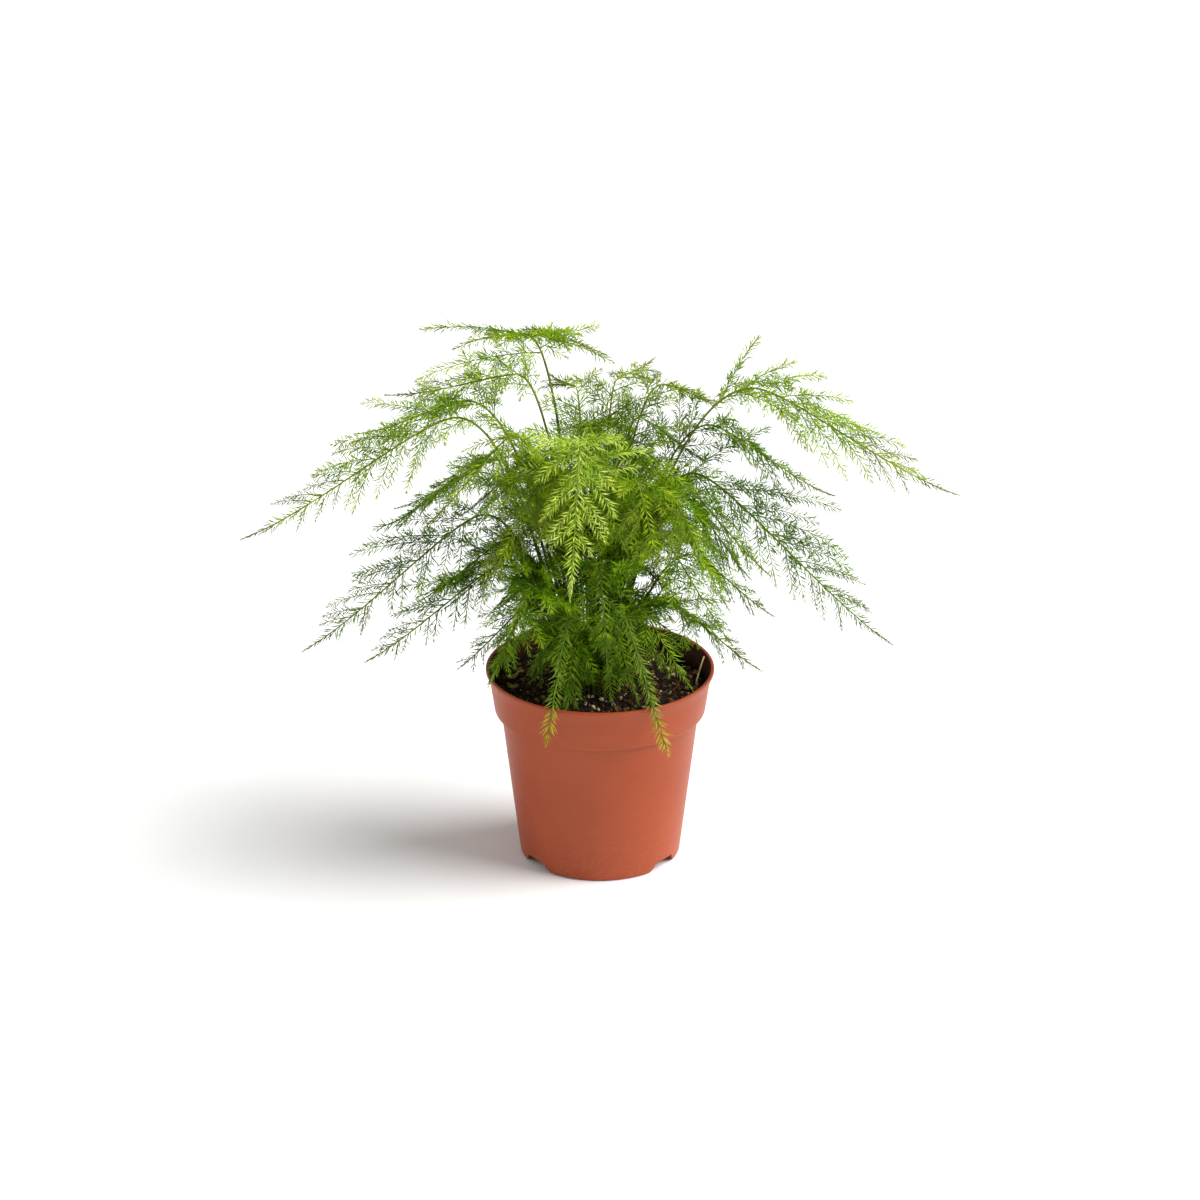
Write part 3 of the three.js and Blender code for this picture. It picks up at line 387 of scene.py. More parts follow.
def grained(name, stops, tone, look, relief=None, drawn_out=1.0):
    """A material whose tone and relief follow noise. Both give its size in mm and its detail, and relief a
    depth in mm and a strength too. It may be drawn out along the height."""
    material, add, where = new_material(name)
    tones = add("TexNoise", {"Scale": per_metre(tone[0]), "Detail": tone[1], "Vector": where})
    skin = {**look, "Base Color": add("ValToRGB", {"stops": stops, "Fac": tones})}
    if relief:
        size, detail, depth, strength = relief
        drawn = add("Mapping", {"Scale": (1.0, 1.0, 1 / drawn_out), "Vector": where})
        grains = add("TexNoise", {"Scale": per_metre(size), "Detail": detail, "Vector": drawn})
        skin["Normal"] = add("Bump", {"Distance": depth * MM, "Strength": strength, "Height": grains})
    add("OutputMaterial", {"Surface": add("BsdfPrincipled", skin)})
    return material


def wiry_stem(name, dark, middle, bright):
    """Asparagus stems turn woody as they age: thin wire, olive to grey-brown, finely grooved along."""
    stops = ((0.34, dark), (0.5, middle), (0.66, bright))
    look = {"Roughness": 0.6, "IOR": 1.45, "Specular IOR Level": 0.1}
    return grained(name, stops, (22, 3.0), look, (0.4, 2.0, 0.08, 0.5), drawn_out=12.5)


def milled_peat(name, stops):
    """Milled sphagnum peat: dark, matt crumbs with paler fibres, paler on what stands proud: drier, and with
    a painted highlight.
    """
    look = {"Roughness": 0.95, "IOR": 1.4, "Specular IOR Level": 0.25}
    return grained(name, stops, (2.6, 8.0), look, (0.5, 4.0, 0.5, 0.9))


def expanded_perlite():
    """Perlite, a volcanic glass puffed up by heat: white, chalky grains with a few peat stains."""
    stops = ((0.36, "#A88B58"), (0.5, "#E3CF9C"), (0.66, "#F8EFCF"))
    look = {"Roughness": 0.85, "IOR": 1.5}
    return grained("expanded_perlite", stops, (1.6, 5.0), look, (0.35, 3.0, 0.12, 0.7))


def dry_plant(name, stops, streak_mm):
    """Dead plant matter, dried in air: matt, bleached, with darker fibres that stand out of it."""
    look = {"Roughness": 0.8, "IOR": 1.45, "Specular IOR Level": 0.3}
    return grained(name, stops, (streak_mm, 5.0), look, (streak_mm, 5.0, 0.15, 0.7))


def studio_paper():
    """The seamless paper of a photo studio: matt and almost white."""
    look = {"Roughness": 0.95, "IOR": 1.3, "Specular IOR Level": 0.0}
    return grained("studio_paper", ((0.3, "#F3F3F2"), (0.7, "#F5F5F4")), (300, 2.0), look)


POLYPROPYLENE = moulded_polypropylene()
STAINED_AND_SHADED_POLYPROPYLENE = stained_and_shaded_polypropylene()
PEAT = milled_peat("milled_peat", ((0.3, "#110C07"), (0.5, "#21180E"), (0.62, "#39291A"), (0.75, "#5C4830")))
# Painted highlight, together with drier peat: the crumbs on top are paler than the peat below them.
PEAT_CRUMB = milled_peat("peat_crumbs", ((0.3, "#241808"), (0.48, "#5A4122"), (0.66, "#A07C4A")))
PEAT_FIBRE = dry_plant("peat_fibres", ((0.35, "#4B3622"), (0.55, "#7A5C3B"), (0.7, "#A08257")), 3)
PERLITE = expanded_perlite()
STRAW_SKIN = dry_plant("dry_straw", ((0.35, "#A68652"), (0.5, "#C7AA74"), (0.65, "#D9C28F")), 5)
TWIG_BARK = dry_plant("dead_twig", ((0.35, "#6B4F34"), (0.5, "#97764F"), (0.65, "#B99A6E")), 4)
DRY_LEAF = dry_plant("dry_leaf", ((0.35, "#7C6A34"), (0.5, "#A89552"), (0.65, "#C8BA7C")), 4)
SCALE_LEAF = dry_plant("papery_scale", ((0.35, "#6E5A34"), (0.5, "#8C7848"), (0.65, "#A8966A")), 3)

# The greens of each finish, from dark to bright: of the needles towards a branch's tip, of those near its
# root, of those on plain feathers and at the frond's tip, of their wire and of the bare stem. A frond is lime
# when it is new and darkens as it ages, and the low outer ones are the oldest. Light and shade are painted
# into some finishes too: painted light in the greens of the frond at the front, and painted shade in those
# of the inner, back and low fronds and of the low outer ones.
GREENS = {
    # Painted light: these greens, lighter than new growth alone, stand for the light that the frond at the
    # front catches and lets through.
    "new": (
        ("#AECA3C", "#C2DA54", "#D6E874"),
        ("#86AA20", "#9CBE34", "#B4D04C"),
        ("#B4CC48", "#C8DC60", "#DAEA80"),
        ("#5F7A22", "#769030", "#8FA644"),
        ("#4F5F28", "#65752F", "#7C8A3C"),
    ),
    "fresh": (
        ("#80980F", "#94AD1C", "#A9BF33"),
        ("#628808", "#779C10", "#8EAE1F"),
        ("#59691A", "#6B7C22", "#808F30"),
        ("#56691F", "#6A7C28", "#808F36"),
        ("#4F5F28", "#65752F", "#7C8A3C"),
    ),
    "grown": (
        ("#769C12", "#8FB21C", "#A8C632"),
        ("#497706", "#62910A", "#7CA615"),
        ("#587612", "#6A8C1C", "#82A22C"),
        ("#4B611D", "#5F7624", "#748B30"),
        ("#434F24", "#56632B", "#6B7836"),
    ),
    # Painted shade: these darker greens go to the inner, back and low fronds, young ones too, for the shade
    # deep in the plant.
    "deep": (
        ("#5D8610", "#739A18", "#8EAE28"),
        ("#335C04", "#467206", "#5E8A0C"),
        ("#436210", "#537616", "#688C22"),
        ("#3F4F1E", "#506125", "#63752F"),
        ("#3B4422", "#4B5628", "#5F6B34"),
    ),
    # Painted shade: the low outer fronds hang in shade, and these greens are darkened for that as well as for
    # their age.
    "old": (
        ("#52760A", "#668A10", "#7F9E1C"),
        ("#335A04", "#446C06", "#587F0A"),
        ("#455A12", "#566B1A", "#697E26"),
        ("#445516", "#54681C", "#677A26"),
        ("#3B4422", "#4B5628", "#5F6B34"),
    ),
    "rim": (
        ("#6C8A22", "#7F9C2E", "#97B044"),
        ("#42640E", "#557A16", "#6B9026"),
        ("#95931C", "#ADAA2A", "#C6BC44"),
        ("#46641A", "#587822", "#6E8C2E"),
        ("#4B5426", "#62692D", "#7A7F3A"),
    ),
}


def foliage(finish, tips, roots, tail, wire, stem):
    """The five materials of one finish."""
    needles = (("tip_needles", tips), ("needles", roots), ("tail_needles", tail))
    skins = [cladode_skin(f"{finish}_{where}", *greens) for where, greens in needles]
    return (*skins, wiry_stem(f"{finish}_wire", *wire), wiry_stem(f"{finish}_stem", *stem))


FOLIAGE = {finish: foliage(finish, *greens) for finish, greens in GREENS.items()}
TIP_NEEDLES, ROOT_NEEDLES, TAIL_NEEDLES, WIRE, STEM, SCALE = range(6)
LEAFY_KINDS = (ROOT_NEEDLES, TIP_NEEDLES)
PLAIN_KINDS = (TAIL_NEEDLES, TAIL_NEEDLES)


# Meshes
class Growth:
    """Gathers the triangles of one piece in mm, with a material index for each."""

    def __init__(self):
        self.parts = []
        self.count = 0

    def add(self, points, triangles, finish=0):
        self.parts.append((points, np.asarray(triangles) + self.count, np.full(len(triangles), finish)))
        self.count += len(points)

    def piece(self, name, materials, slot, smooth=True, replaces=()):
        points, triangles, finishes = (np.concatenate(parts) for parts in zip(*self.parts))
        mesh = new_mesh(name, points, triangles)
        mesh.polygons.foreach_set("material_index", finishes)
        mesh.polygons.foreach_set("use_smooth", np.full(len(finishes), smooth))
        place(name, mesh, materials, replaces)


def new_mesh(name, points, faces):
    """A mesh from points in mm."""
    mesh = bpy.data.meshes.new(name)
    mesh.from_pydata(np.asarray(points) * MM, [], faces)
    return mesh


def put(name, data):
    """Links a new object to the scene, at its origin."""
    body = bpy.data.objects.new(name, data)
    bpy.context.scene.collection.objects.link(body)
    return body


def place(name, mesh, materials, replaces=()):
    """Puts a mesh into the scene as a piece that rides on the plant's one body."""
    for material in materials:
        mesh.materials.append(material)
    piece = put(name, mesh)
    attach(piece, "root")
    if replaces:
        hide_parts(*replaces)


def unit(vectors):
    return vectors / np.maximum(np.linalg.norm(vectors, axis=-1, keepdims=True), 1e-9)


def heading_of(degrees):
    return np.array([math.cos(math.radians(degrees)), math.sin(math.radians(degrees)), 0.0])


def full_turn(count):
    """Angles in even steps once round."""
    return 2 * np.pi * np.arange(count) / count


def upright_turn(turn):
    """The matrix of a turn about an upright axis, in radians."""
    return np.array([[math.cos(turn), -math.sin(turn), 0], [math.sin(turn), math.cos(turn), 0], [0, 0, 1]])


def ring_faces(rings, sectors):
    """The quads, row by row, between rings of points from the lowest up, and the two fans that close them at
    the two points after the rings."""
    k = np.arange(sectors)
    n = (k + 1) % sectors
    low = sectors * np.arange(rings - 1)[:, None]
    high = low + sectors
    quads = np.stack([low + k, low + n, high + n, high + k], axis=-1)
    top, bottom_point = (rings - 1) * sectors, rings * sectors
    below = np.stack([n, k, np.full(sectors, bottom_point)], axis=-1)
    above = np.stack([top + k, top + n, np.full(sectors, bottom_point + 1)], axis=-1)
    return quads, np.concatenate([below, above])


def tube(growth, stops, radii, sides, reference=UP, finish=0):
    """A closed round wire along its stops. reference is any direction across the wire."""
    stops = np.asarray(stops)
    along = unit(np.gradient(stops, axis=0))
    across = unit(np.cross(along, reference))
    upward = np.cross(across, along)
    turns = full_turn(sides)[None, :, None]
    offsets = np.cos(turns) * upward[:, None] + np.sin(turns) * across[:, None]
    rings = stops[:, None] + np.asarray(radii)[:, None, None] * offsets
    # These rings run the other way round, so the faces are turned over.
    quads, fans = ring_faces(len(stops), sides)
    walls = [quads[..., corners].reshape(-1, 3) for corners in ([0, 3, 1], [1, 3, 2])]
    points = np.concatenate([rings.reshape(-1, 3), stops[:1], stops[-1:]])
    growth.add(points, np.concatenate([*walls, fans[:, [1, 0, 2]]]), finish)


# Pot
def rounded(corners):
    """Rounds the corners of an open outline. Each corner is (radius, height, rounding)."""
    outline = [corners[0][:2]]
    for before, (x, z, rounding), after in zip(corners, corners[1:], corners[2:]):
        corner = Vector((x, z))
        into = (corner - Vector(before[:2])).normalized()
        out = (Vector(after[:2]) - corner).normalized()
        reach = rounding * math.tan(into.angle(out) / 2)
        start = corner - into * reach
        end = corner + out * reach
        for t in (k / ROUNDING_STEPS for k in range(ROUNDING_STEPS + 1)):
            outline.append(tuple(start.lerp(corner, t).lerp(corner.lerp(end, t), t)))
    outline.append(corners[-1][:2])
    return outline


def turned(outline):
    """Turns an outline of (radius, height) about the upright axis. Its first and last points are on it."""
    turns = full_turn(POT_SEGMENTS)
    rim = np.array(outline[1:-1])
    rings = np.empty((len(rim), POT_SEGMENTS, 3))
    rings[..., 0] = rim[:, :1] * np.cos(turns)
    rings[..., 1] = rim[:, :1] * np.sin(turns)
    rings[..., 2] = rim[:, 1:]
    ends = [[0, 0, outline[0][1]], [0, 0, outline[-1][1]]]
    quads, fans = ring_faces(len(rim), POT_SEGMENTS)
    return np.concatenate([rings.reshape(-1, 3), ends]), quads.reshape(-1, 4).tolist() + fans.tolist()


def prism(rings):
    """A cutter that fills the room between two outlines with as many points each."""
    count = len(rings[0])
    quads, _ = ring_faces(2, count)
    ends = [tuple(range(count))[::-1], tuple(range(count, 2 * count))]
    return put("cutter", new_mesh("cutter", np.reshape(rings, (-1, 3)), quads.reshape(-1, 4).tolist() + ends))


def notch_cutter(degrees):
    """Cuts one drainage notch, right through the foot."""
    outline = [(-NOTCH_MOUTH / 2, NOTCH_BOTTOM), (NOTCH_MOUTH / 2, NOTCH_BOTTOM)]
    x, z = NOTCH_ROOF / 2 - NOTCH_ROUNDING, NOTCH_HEIGHT - NOTCH_ROUNDING
    turns = [math.radians(90 * k / ROUNDING_STEPS) for k in range(ROUNDING_STEPS + 1)]
    outline += [(x + NOTCH_ROUNDING * math.cos(t), z + NOTCH_ROUNDING * math.sin(t)) for t in turns]
    outline += [(-x, z) for x, z in reversed(outline[2:])]
    out = heading_of(degrees + FRONT)
    across = np.cross(UP, out)
    return prism([[out * depth + across * x + UP * z for x, z in outline] for depth in NOTCH_DEPTHS])


def drain_cutter(degrees):
    """Cuts one drainage hole, right through the floor."""
    middle = heading_of(degrees + FRONT) * DRAIN_FROM_AXIS
    ring = [middle + DRAIN_RADIUS * np.array([math.cos(t), math.sin(t), 0]) for t in full_turn(DRAIN_SIDES)]
    return prism([[p + UP * z for p in ring] for z in (FLOOR_UNDERSIDE - CUT_SPARE, FLOOR_TOP + CUT_SPARE)])


def build_pot():
    corners = (
        (0, FLOOR_UNDERSIDE, 0),
        (FOOT_INNER, FLOOR_UNDERSIDE, 1.4),
        (FOOT_INNER + 0.1, 0, 0.5),
        (BASE_RADIUS - 0.35, 0, 2.2),
        (WALL_TOP_RADIUS + 0.05, COLLAR_BOTTOM, 1.0),
        (COLLAR_RADIUS - 0.1, COLLAR_BOTTOM + 0.1, 1.7),
        (LIP_RADIUS, LIP_BOTTOM, 16.0),
        (RIM_RADIUS - 0.35, POT_HEIGHT - 1.9, 0.5),
        (RIM_RADIUS, POT_HEIGHT - 1.6, 0.3),
        (RIM_RADIUS, POT_HEIGHT, 0.5),
        (RIM_RADIUS - WALL - 0.4, POT_HEIGHT, 0.4),
        (LIP_RADIUS - WALL, LIP_BOTTOM, 2.0),
        (COLLAR_RADIUS - WALL, COLLAR_BOTTOM + 1.2, 1.5),
        (WALL_TOP_RADIUS - WALL, COLLAR_BOTTOM - 1.5, 1.5),
        (BASE_RADIUS - WALL + 0.1, FLOOR_TOP, 1.8),
        (0, FLOOR_TOP, 0),
    )
    shell = put("cutter", new_mesh("cutter", *turned(rounded(corners))))
    cutters = [make(degrees) for degrees in NOTCH_ANGLES for make in (notch_cutter, drain_cutter)]
    for tool in cutters:
        cut = shell.modifiers.new("cut", "BOOLEAN")
        cut.operation = "DIFFERENCE"
        cut.solver = "EXACT"
        cut.object = tool
    bpy.context.view_layer.update()
    evaluated = shell.evaluated_get(bpy.context.evaluated_depsgraph_get())
    mesh = bpy.data.meshes.new_from_object(evaluated)
    for body in (shell, *cutters):
        bpy.data.objects.remove(body)
    mesh.name = "pot_shell"
    mesh.materials.clear()
    for face in mesh.polygons:
        face.use_smooth = True
        face.material_index = 1 if is_inside_pot(face) else 0
    mesh.set_sharp_from_angle(angle=math.radians(SMOOTH_UP_TO))
    place("pot_shell", mesh, (POLYPROPYLENE, STAINED_AND_SHADED_POLYPROPYLENE), ("pot",))


def is_inside_pot(face):
    """True for the faces of the wall and the floor that the peat has touched, which look inwards or up; they
    get the stained inside with its painted shade.
    """
    x, y, z = face.center / MM
    looks_in = face.normal.x * x + face.normal.y * y < LOOKS_OUT * math.hypot(x, y)
    return STAINED_AND_SHADED[0] < z < STAINED_AND_SHADED[1] and looks_in


# Soil
def clod_height(x, y):
    """The broad mounds of the soil, as in the CAD model."""
    mounds = np.sin(0.13 * x + 1.3) * np.cos(0.11 * y - 0.6)
    lumps = np.sin(0.19 * x - 0.16 * y + 0.8)
    return CLOD_HEIGHT * (0.6 * mounds + 0.4 * lumps)


def crumb_height(x, y):
    """The finer lumps, crumbs and pits on the mounds. Each kind is drawn from a level of the noise."""
    levels = ((LUMP_SIZE, 0.0), (CRUMB_SIZE, 5.0), (PIT_SIZE, 9.0))
    lumps, crumbs, pits = (noise.noise(Vector((x / size, y / size, level))) for size, level in levels)
    return LUMP_RISE * lumps + CRUMB_RISE * crumbs + PIT_DEPTH * min(0.0, pits)


def soil_height(x, y):
    return SOIL_TOP + float(clod_height(x, y)) + crumb_height(x, y)


def soil_edge():
    """The soil's outline down the inside of the wall, from the pot's floor up."""
    gap = WALL + SOIL_GAP
    top_share = (SOIL_TOP - COLLAR_BOTTOM) / (LIP_BOTTOM - COLLAR_BOTTOM)
    top_radius = COLLAR_RADIUS + (LIP_RADIUS - COLLAR_RADIUS) * top_share - gap
    return (
        (BASE_RADIUS - gap - SOIL_EDGE, FLOOR_TOP + SOIL_GAP),
        (BASE_RADIUS - gap, FLOOR_TOP + SOIL_GAP + SOIL_EDGE),
        (WALL_TOP_RADIUS - gap - SOIL_SHY, COLLAR_BOTTOM - 2),
        (COLLAR_RADIUS - gap - SOIL_SHY, COLLAR_BOTTOM + 2),
        (top_radius, SOIL_TOP - SOIL_SHOULDER),
    )


def build_soil():
    edge = soil_edge()
    turns = full_turn(SOIL_SECTORS)
    rings = [[(r * math.cos(t), r * math.sin(t), z) for t in turns] for r, z in edge]
    for ring in range(SOIL_RINGS, 0, -1):
        r = edge[-1][0] * ring / SOIL_RINGS
        spots = [(r * math.cos(t), r * math.sin(t)) for t in turns]
        rings.append([(x, y, soil_height(x, y)) for x, y in spots])
    ends = [[0, 0, edge[0][1]], [0, 0, soil_height(0, 0)]]
    quads, fans = ring_faces(len(rings), SOIL_SECTORS)
    halves = np.stack([quads[..., [0, 1, 2]], quads[..., [0, 2, 3]]], axis=1).reshape(-1, 3)
    growth = Growth()
    growth.add(np.concatenate([np.array(rings).reshape(-1, 3), ends]), np.concatenate([halves, fans]))
    growth.piece("peat_body", (PEAT,), "potting_soil", replaces=("soil",))


# A lump is a cube with its corners and its faces' middles pushed about: 14 points and 24 triangles.
LUMP_CORNER, LUMP_MIDDLE = 0.62, 1.55
LUMP_CORNERS = np.array([[x, y, z] for x in (-1, 1) for y in (-1, 1) for z in (-1, 1)]) * LUMP_CORNER
LUMP_FACES = ((0, 1, 3, 2), (4, 6, 7, 5), (0, 4, 5, 1), (2, 3, 7, 6), (0, 2, 6, 4), (1, 5, 7, 3))
LUMP_MIDDLES = np.array([LUMP_CORNERS[list(face)].mean(axis=0) for face in LUMP_FACES]) * LUMP_MIDDLE
LUMP_POINTS = np.concatenate([LUMP_CORNERS, LUMP_MIDDLES])
LUMP_TRIANGLES = np.array(
    [(face[j], face[(j + 1) % 4], 8 + i) for i, face in enumerate(LUMP_FACES) for j in range(4)]
)
LUMP_ROUGHNESS = (0.72, 1.2)
LUMP_STRETCH = (0.65, 1.1)
LUMP_TILT = 0.6


def lump(draws, size):
    points = LUMP_POINTS * draws.uniform(*LUMP_ROUGHNESS, (len(LUMP_POINTS), 1))
    points = points * draws.uniform(*LUMP_STRETCH, 3) * size / 2
    turn = draws.uniform(0, 2 * np.pi)
    tilt = draws.uniform(-LUMP_TILT, LUMP_TILT)
    lean = np.array([[1, 0, 0], [0, math.cos(tilt), -math.sin(tilt)], [0, math.sin(tilt), math.cos(tilt)]])
    return points @ (upright_turn(turn) @ lean).T


def scatter_spot(draws, reach):
    """A place on the soil, within a share of the way to the wall."""
    radius = soil_edge()[-1][0] * reach * math.sqrt(draws.uniform())
    turn = draws.uniform(0, 2 * np.pi)
    x, y = radius * math.cos(turn), radius * math.sin(turn)
    return np.array([x, y, soil_height(x, y)])


def build_grains(name, material, count, smallest, largest, sink, seed):
    """Scatters irregular grains on the soil, each sunk into it by a share of its size."""
    draws = np.random.default_rng(seed)
    growth = Growth()
    for _ in range(count):
        size = smallest + (largest - smallest) * draws.uniform() ** SMALLNESS
        spot = scatter_spot(draws, SCATTER_REACH) + UP * size * (0.5 - sink)
        growth.add(spot + lump(draws, size), LUMP_TRIANGLES)
    growth.piece(name, (material,), "potting_soil", smooth=False)


def build_fibres():
    """Short fibres of peat and root that lie criss-cross on the crumbs."""
    draws = np.random.default_rng(31)
    growth = Growth()
    shares = np.linspace(0, 1, FIBRE_STOPS)
    for _ in range(PEAT_FIBRES):
        start = scatter_spot(draws, FIBRE_REACH)
        way = heading_of(draws.uniform(0, 360))
        bend = np.cross(UP, way) * draws.uniform(-FIBRE_BEND, FIBRE_BEND)
        length = draws.uniform(*FIBRE_LENGTH)
        stops = [start + way * length * (t - 0.5) + bend * (4 * t * (1 - t)) for t in shares]
        for stop, t in zip(stops, shares):
            arch = FIBRE_ARCH * math.sin(math.pi * t) * draws.uniform(0.5, 1)
            stop[2] = soil_height(stop[0], stop[1]) + FIBRE_LIFT + arch
        tube(growth, stops, np.full(FIBRE_STOPS, draws.uniform(*FIBRE_RADIUS)), sides=4)
    growth.piece("peat_fibres", (PEAT_FIBRE,), "potting_soil")


# Litter
def soil_place(out, heading, lift):
    place_at = heading_of(heading) * out
    return place_at + UP * (SOIL_TOP + float(clod_height(place_at[0], place_at[1])) + lift)


def bent_rod(start, end, steps):
    """The stops of a rod between two points, whose middle stands proud by ROD_BEND."""
    middle = (start + end) / 2 + UP * ROD_BEND
    control = 2 * middle - (start + end) / 2
    shares = np.linspace(0, 1, steps)
    return [(1 - t) ** 2 * start + 2 * t * (1 - t) * control + t * t * end for t in shares]


def build_straw():
    """The straw, from the soil to the inside of the rim that it leans on."""
    start, end = soil_place(*STRAW_FROM, STRAW_LIFT), soil_place(*STRAW_TO, 0)
    end[2] = STRAW_TOP
    radii = [STRAW_JOINT.get(stop, STRAW_RADIUS) for stop in range(STRAW_STOPS)]
    growth = Growth()
    tube(growth, bent_rod(start, end, len(radii)), radii, sides=10)
    growth.piece("straw_stalk", (STRAW_SKIN,), "straw", replaces=("dry_straw",))


def build_twig():
    start, end = soil_place(*TWIG_FROM, 0), soil_place(*TWIG_TO, 0)
    start[2] = end[2] = max(start[2], end[2]) + TWIG_LIFT
    radii = np.linspace(*TWIG_RADII, TWIG_STOPS) + TWIG_KNOTS * np.sin(np.arange(TWIG_STOPS) * KNOT_TURN)
    growth = Growth()
    tube(growth, bent_rod(start, end, len(radii)), radii, sides=8)
    growth.piece("twig_stick", (TWIG_BARK,), "dead_wood", replaces=("dead_twig",))


def build_curled_leaf(number, out, heading, turn, length):
    """A dry leaf bit, curled up at both ends and cupped, with a wavy edge."""
    radius = length / LEAF_CURL
    sheet = []
    for k in range(LEAF_STEPS + 1):
        angle = LEAF_CURL * (k / LEAF_STEPS - 0.5)
        half = LEAF_WIDTH * (LEAF_ENDS + (0.5 - LEAF_ENDS) * math.sin(math.pi * k / LEAF_STEPS))
        half *= 1 + LEAF_WAVE * math.sin(WAVE_TURN * k)
        for side in (2 * lane / LEAF_LANES - 1 for lane in range(LEAF_LANES + 1)):
            reach = radius - LEAF_CUP * side**2
            sheet.append((reach * math.sin(angle), half * side, radius - reach * math.cos(angle)))
    upper = np.array(sheet)
    towards_axis = unit(np.array([0, 0, radius]) - upper * np.array([1, 0, 1]))
    both = np.concatenate([upper + towards_axis * LEAF_THICKNESS, upper]) @ upright_turn(math.radians(turn)).T
    row, under = LEAF_LANES + 1, len(upper)
    faces = []
    for a in (k * row + lane for k in range(LEAF_STEPS) for lane in range(LEAF_LANES)):
        b, c, d = a + 1, a + 1 + row, a + row
        faces += [(a, c, b), (a, d, c), (a + under, b + under, c + under), (a + under, c + under, d + under)]
    rim = list(range(row)) + [k * row + LEAF_LANES for k in range(1, LEAF_STEPS + 1)]
    rim += [LEAF_STEPS * row + lane for lane in range(LEAF_LANES - 1, -1, -1)]
    rim += [k * row for k in range(LEAF_STEPS - 1, 0, -1)]
    for a, b in zip(rim, rim[1:] + rim[:1]):
        faces += [(a, b, b + under), (a, b + under, a + under)]
    growth = Growth()
    growth.add(both + soil_place(out, heading, LEAF_LIFT), faces)
    growth.piece(f"leaf_curl_{number}", (DRY_LEAF,), "dry_leaf", replaces=(f"curled_leaf_{number}",))


# Fronds
def bezier(corners, shares):
    a, b, c, d = (np.asarray(p)[None] for p in corners)
    t = np.asarray(shares)[:, None]
    return (1 - t) ** 3 * a + 3 * t * (1 - t) ** 2 * b + 3 * t * t * (1 - t) * c + t**3 * d


class Route:
    """The line of one frond, from the soil over its crest to its tip, as in the CAD model."""

    def __init__(self, heading, foot, crest_out, crest_up, tip_out, tip_up, swing, roll):
        out = heading_of(heading)
        base = CROWN + out * foot + UP * SOIL_TOP
        crest = CROWN + out * crest_out + UP * crest_up
        tip = CROWN + heading_of(heading + swing) * tip_out + UP * tip_up
        first_out, second_out = crest_out - foot, tip_out - crest_out
        shoulder = base + out * STEM_LEAN * first_out + UP * (crest_up - SOIL_TOP) / 2
        rise = (base, shoulder, crest - out * SHOULDER * first_out, crest)
        hang = tip + (crest - tip) * TIP_RUN - UP * TIP_HANG * second_out
        fall = (crest, crest + out * LEVEL_RUN * second_out, hang, tip)
        shares = np.linspace(0, 1, ROUTE_STOPS)
        self.stops = np.concatenate([bezier(rise, shares), bezier(fall, shares)[1:]])
        steps = np.linalg.norm(np.diff(self.stops, axis=0), axis=1)
        self.distances = np.concatenate([[0], np.cumsum(steps)])
        self.length = self.distances[-1]
        self.heading, self.swing, self.roll = heading, swing, roll

    def on_line(self, distance):
        return np.stack([np.interp(distance, self.distances, self.stops[:, k]) for k in range(3)], axis=-1)

    def point(self, distance):
        """The point at a distance up from the soil, or down into it where the distance is negative."""
        buried = np.asarray(np.minimum(0, distance))[..., None]
        return self.on_line(np.clip(distance, 0, self.length)) + buried * self.tangent(0.0)

    def tangent(self, distance):
        inside = np.clip(distance, ROUTE_END, self.length - ROUTE_END)
        return unit(self.on_line(inside + ROUTE_PROBE) - self.on_line(inside - ROUTE_PROBE))

    def axes(self, distance):
        """The directions along the stem, to its left side and out of its upper face."""
        along = self.tangent(distance)
        flat = heading_of(self.heading + self.swing * distance / self.length)
        left = np.cross(UP, flat)
        turn = math.radians(self.roll)
        lifted = left * math.cos(turn) + np.cross(along, left) * math.sin(turn)
        lifted = lifted + along * np.dot(along, left) * (1 - math.cos(turn))
        above = unit(np.cross(along, lifted))
        return along, np.cross(above, along), above


def seeded_draws(seed):
    """The CAD model's own draws from 0 to 1, so that the branches stand where its branches do."""
    state = seed
    while True:
        state = (1664525 * state + 1013904223) % 2**32
        yield state / 2**32


class Branch:
    """A side branch or branchlet, which hangs more the farther out it is. kinds are the finishes of its
    needles near its root and towards its tip."""

    def __init__(self, root, heading, length, above, kinds):
        self.root, self.heading, self.length = root, heading, length
        self.above, self.kinds = above, kinds

    def point(self, distance):
        distance = np.asarray(distance, dtype=float)[..., None]
        return self.root + self.heading * distance - UP * BRANCH_SAG * distance**2 / self.length

    def tangent(self, distance):
        distance = np.asarray(distance, dtype=float)[..., None]
        return unit(self.heading - UP * 2 * BRANCH_SAG * distance / self.length)


def leaning(along, across, above, angle, lift):
    """The direction at an angle off along towards across, lifted towards above, both in degrees."""
    flat = along * math.cos(math.radians(angle)) + across * math.sin(math.radians(angle))
    return flat * math.cos(math.radians(lift)) + above * math.sin(math.radians(lift))


def branch_share(share, side, roll):
    """How long a branch is against the frond's longest, which is less on the side that the roll lowers."""
    lowered = 1 - abs(roll) / LOW_SIDE_ROLL if side * roll < 0 else 1
    return lowered * min(1, FIRST_BRANCH + BRANCH_SWELL * share) * (1 - BRANCH_TAPER * share)


def grown_branch(route, at, side, length, angle, lift, kinds):
    along, left, above = route.axes(at)
    heading = leaning(along, side * left, above, angle, lift)
    return Branch(route.point(at), heading, max(SHORTEST_BRANCH, length), above, kinds)


def rat_tail(route, bare, spread):
    """The length of a frond's last stretch, which has needles and no branches."""
    leafy = (1 - bare) * route.length
    share = np.interp(route.length, RAT_TAIL_LENGTHS, RAT_TAIL_SHARES)
    return FEATHER_SHARE * leafy if spread <= FEATHER_SPREAD else min(RAT_TAIL, share * leafy)


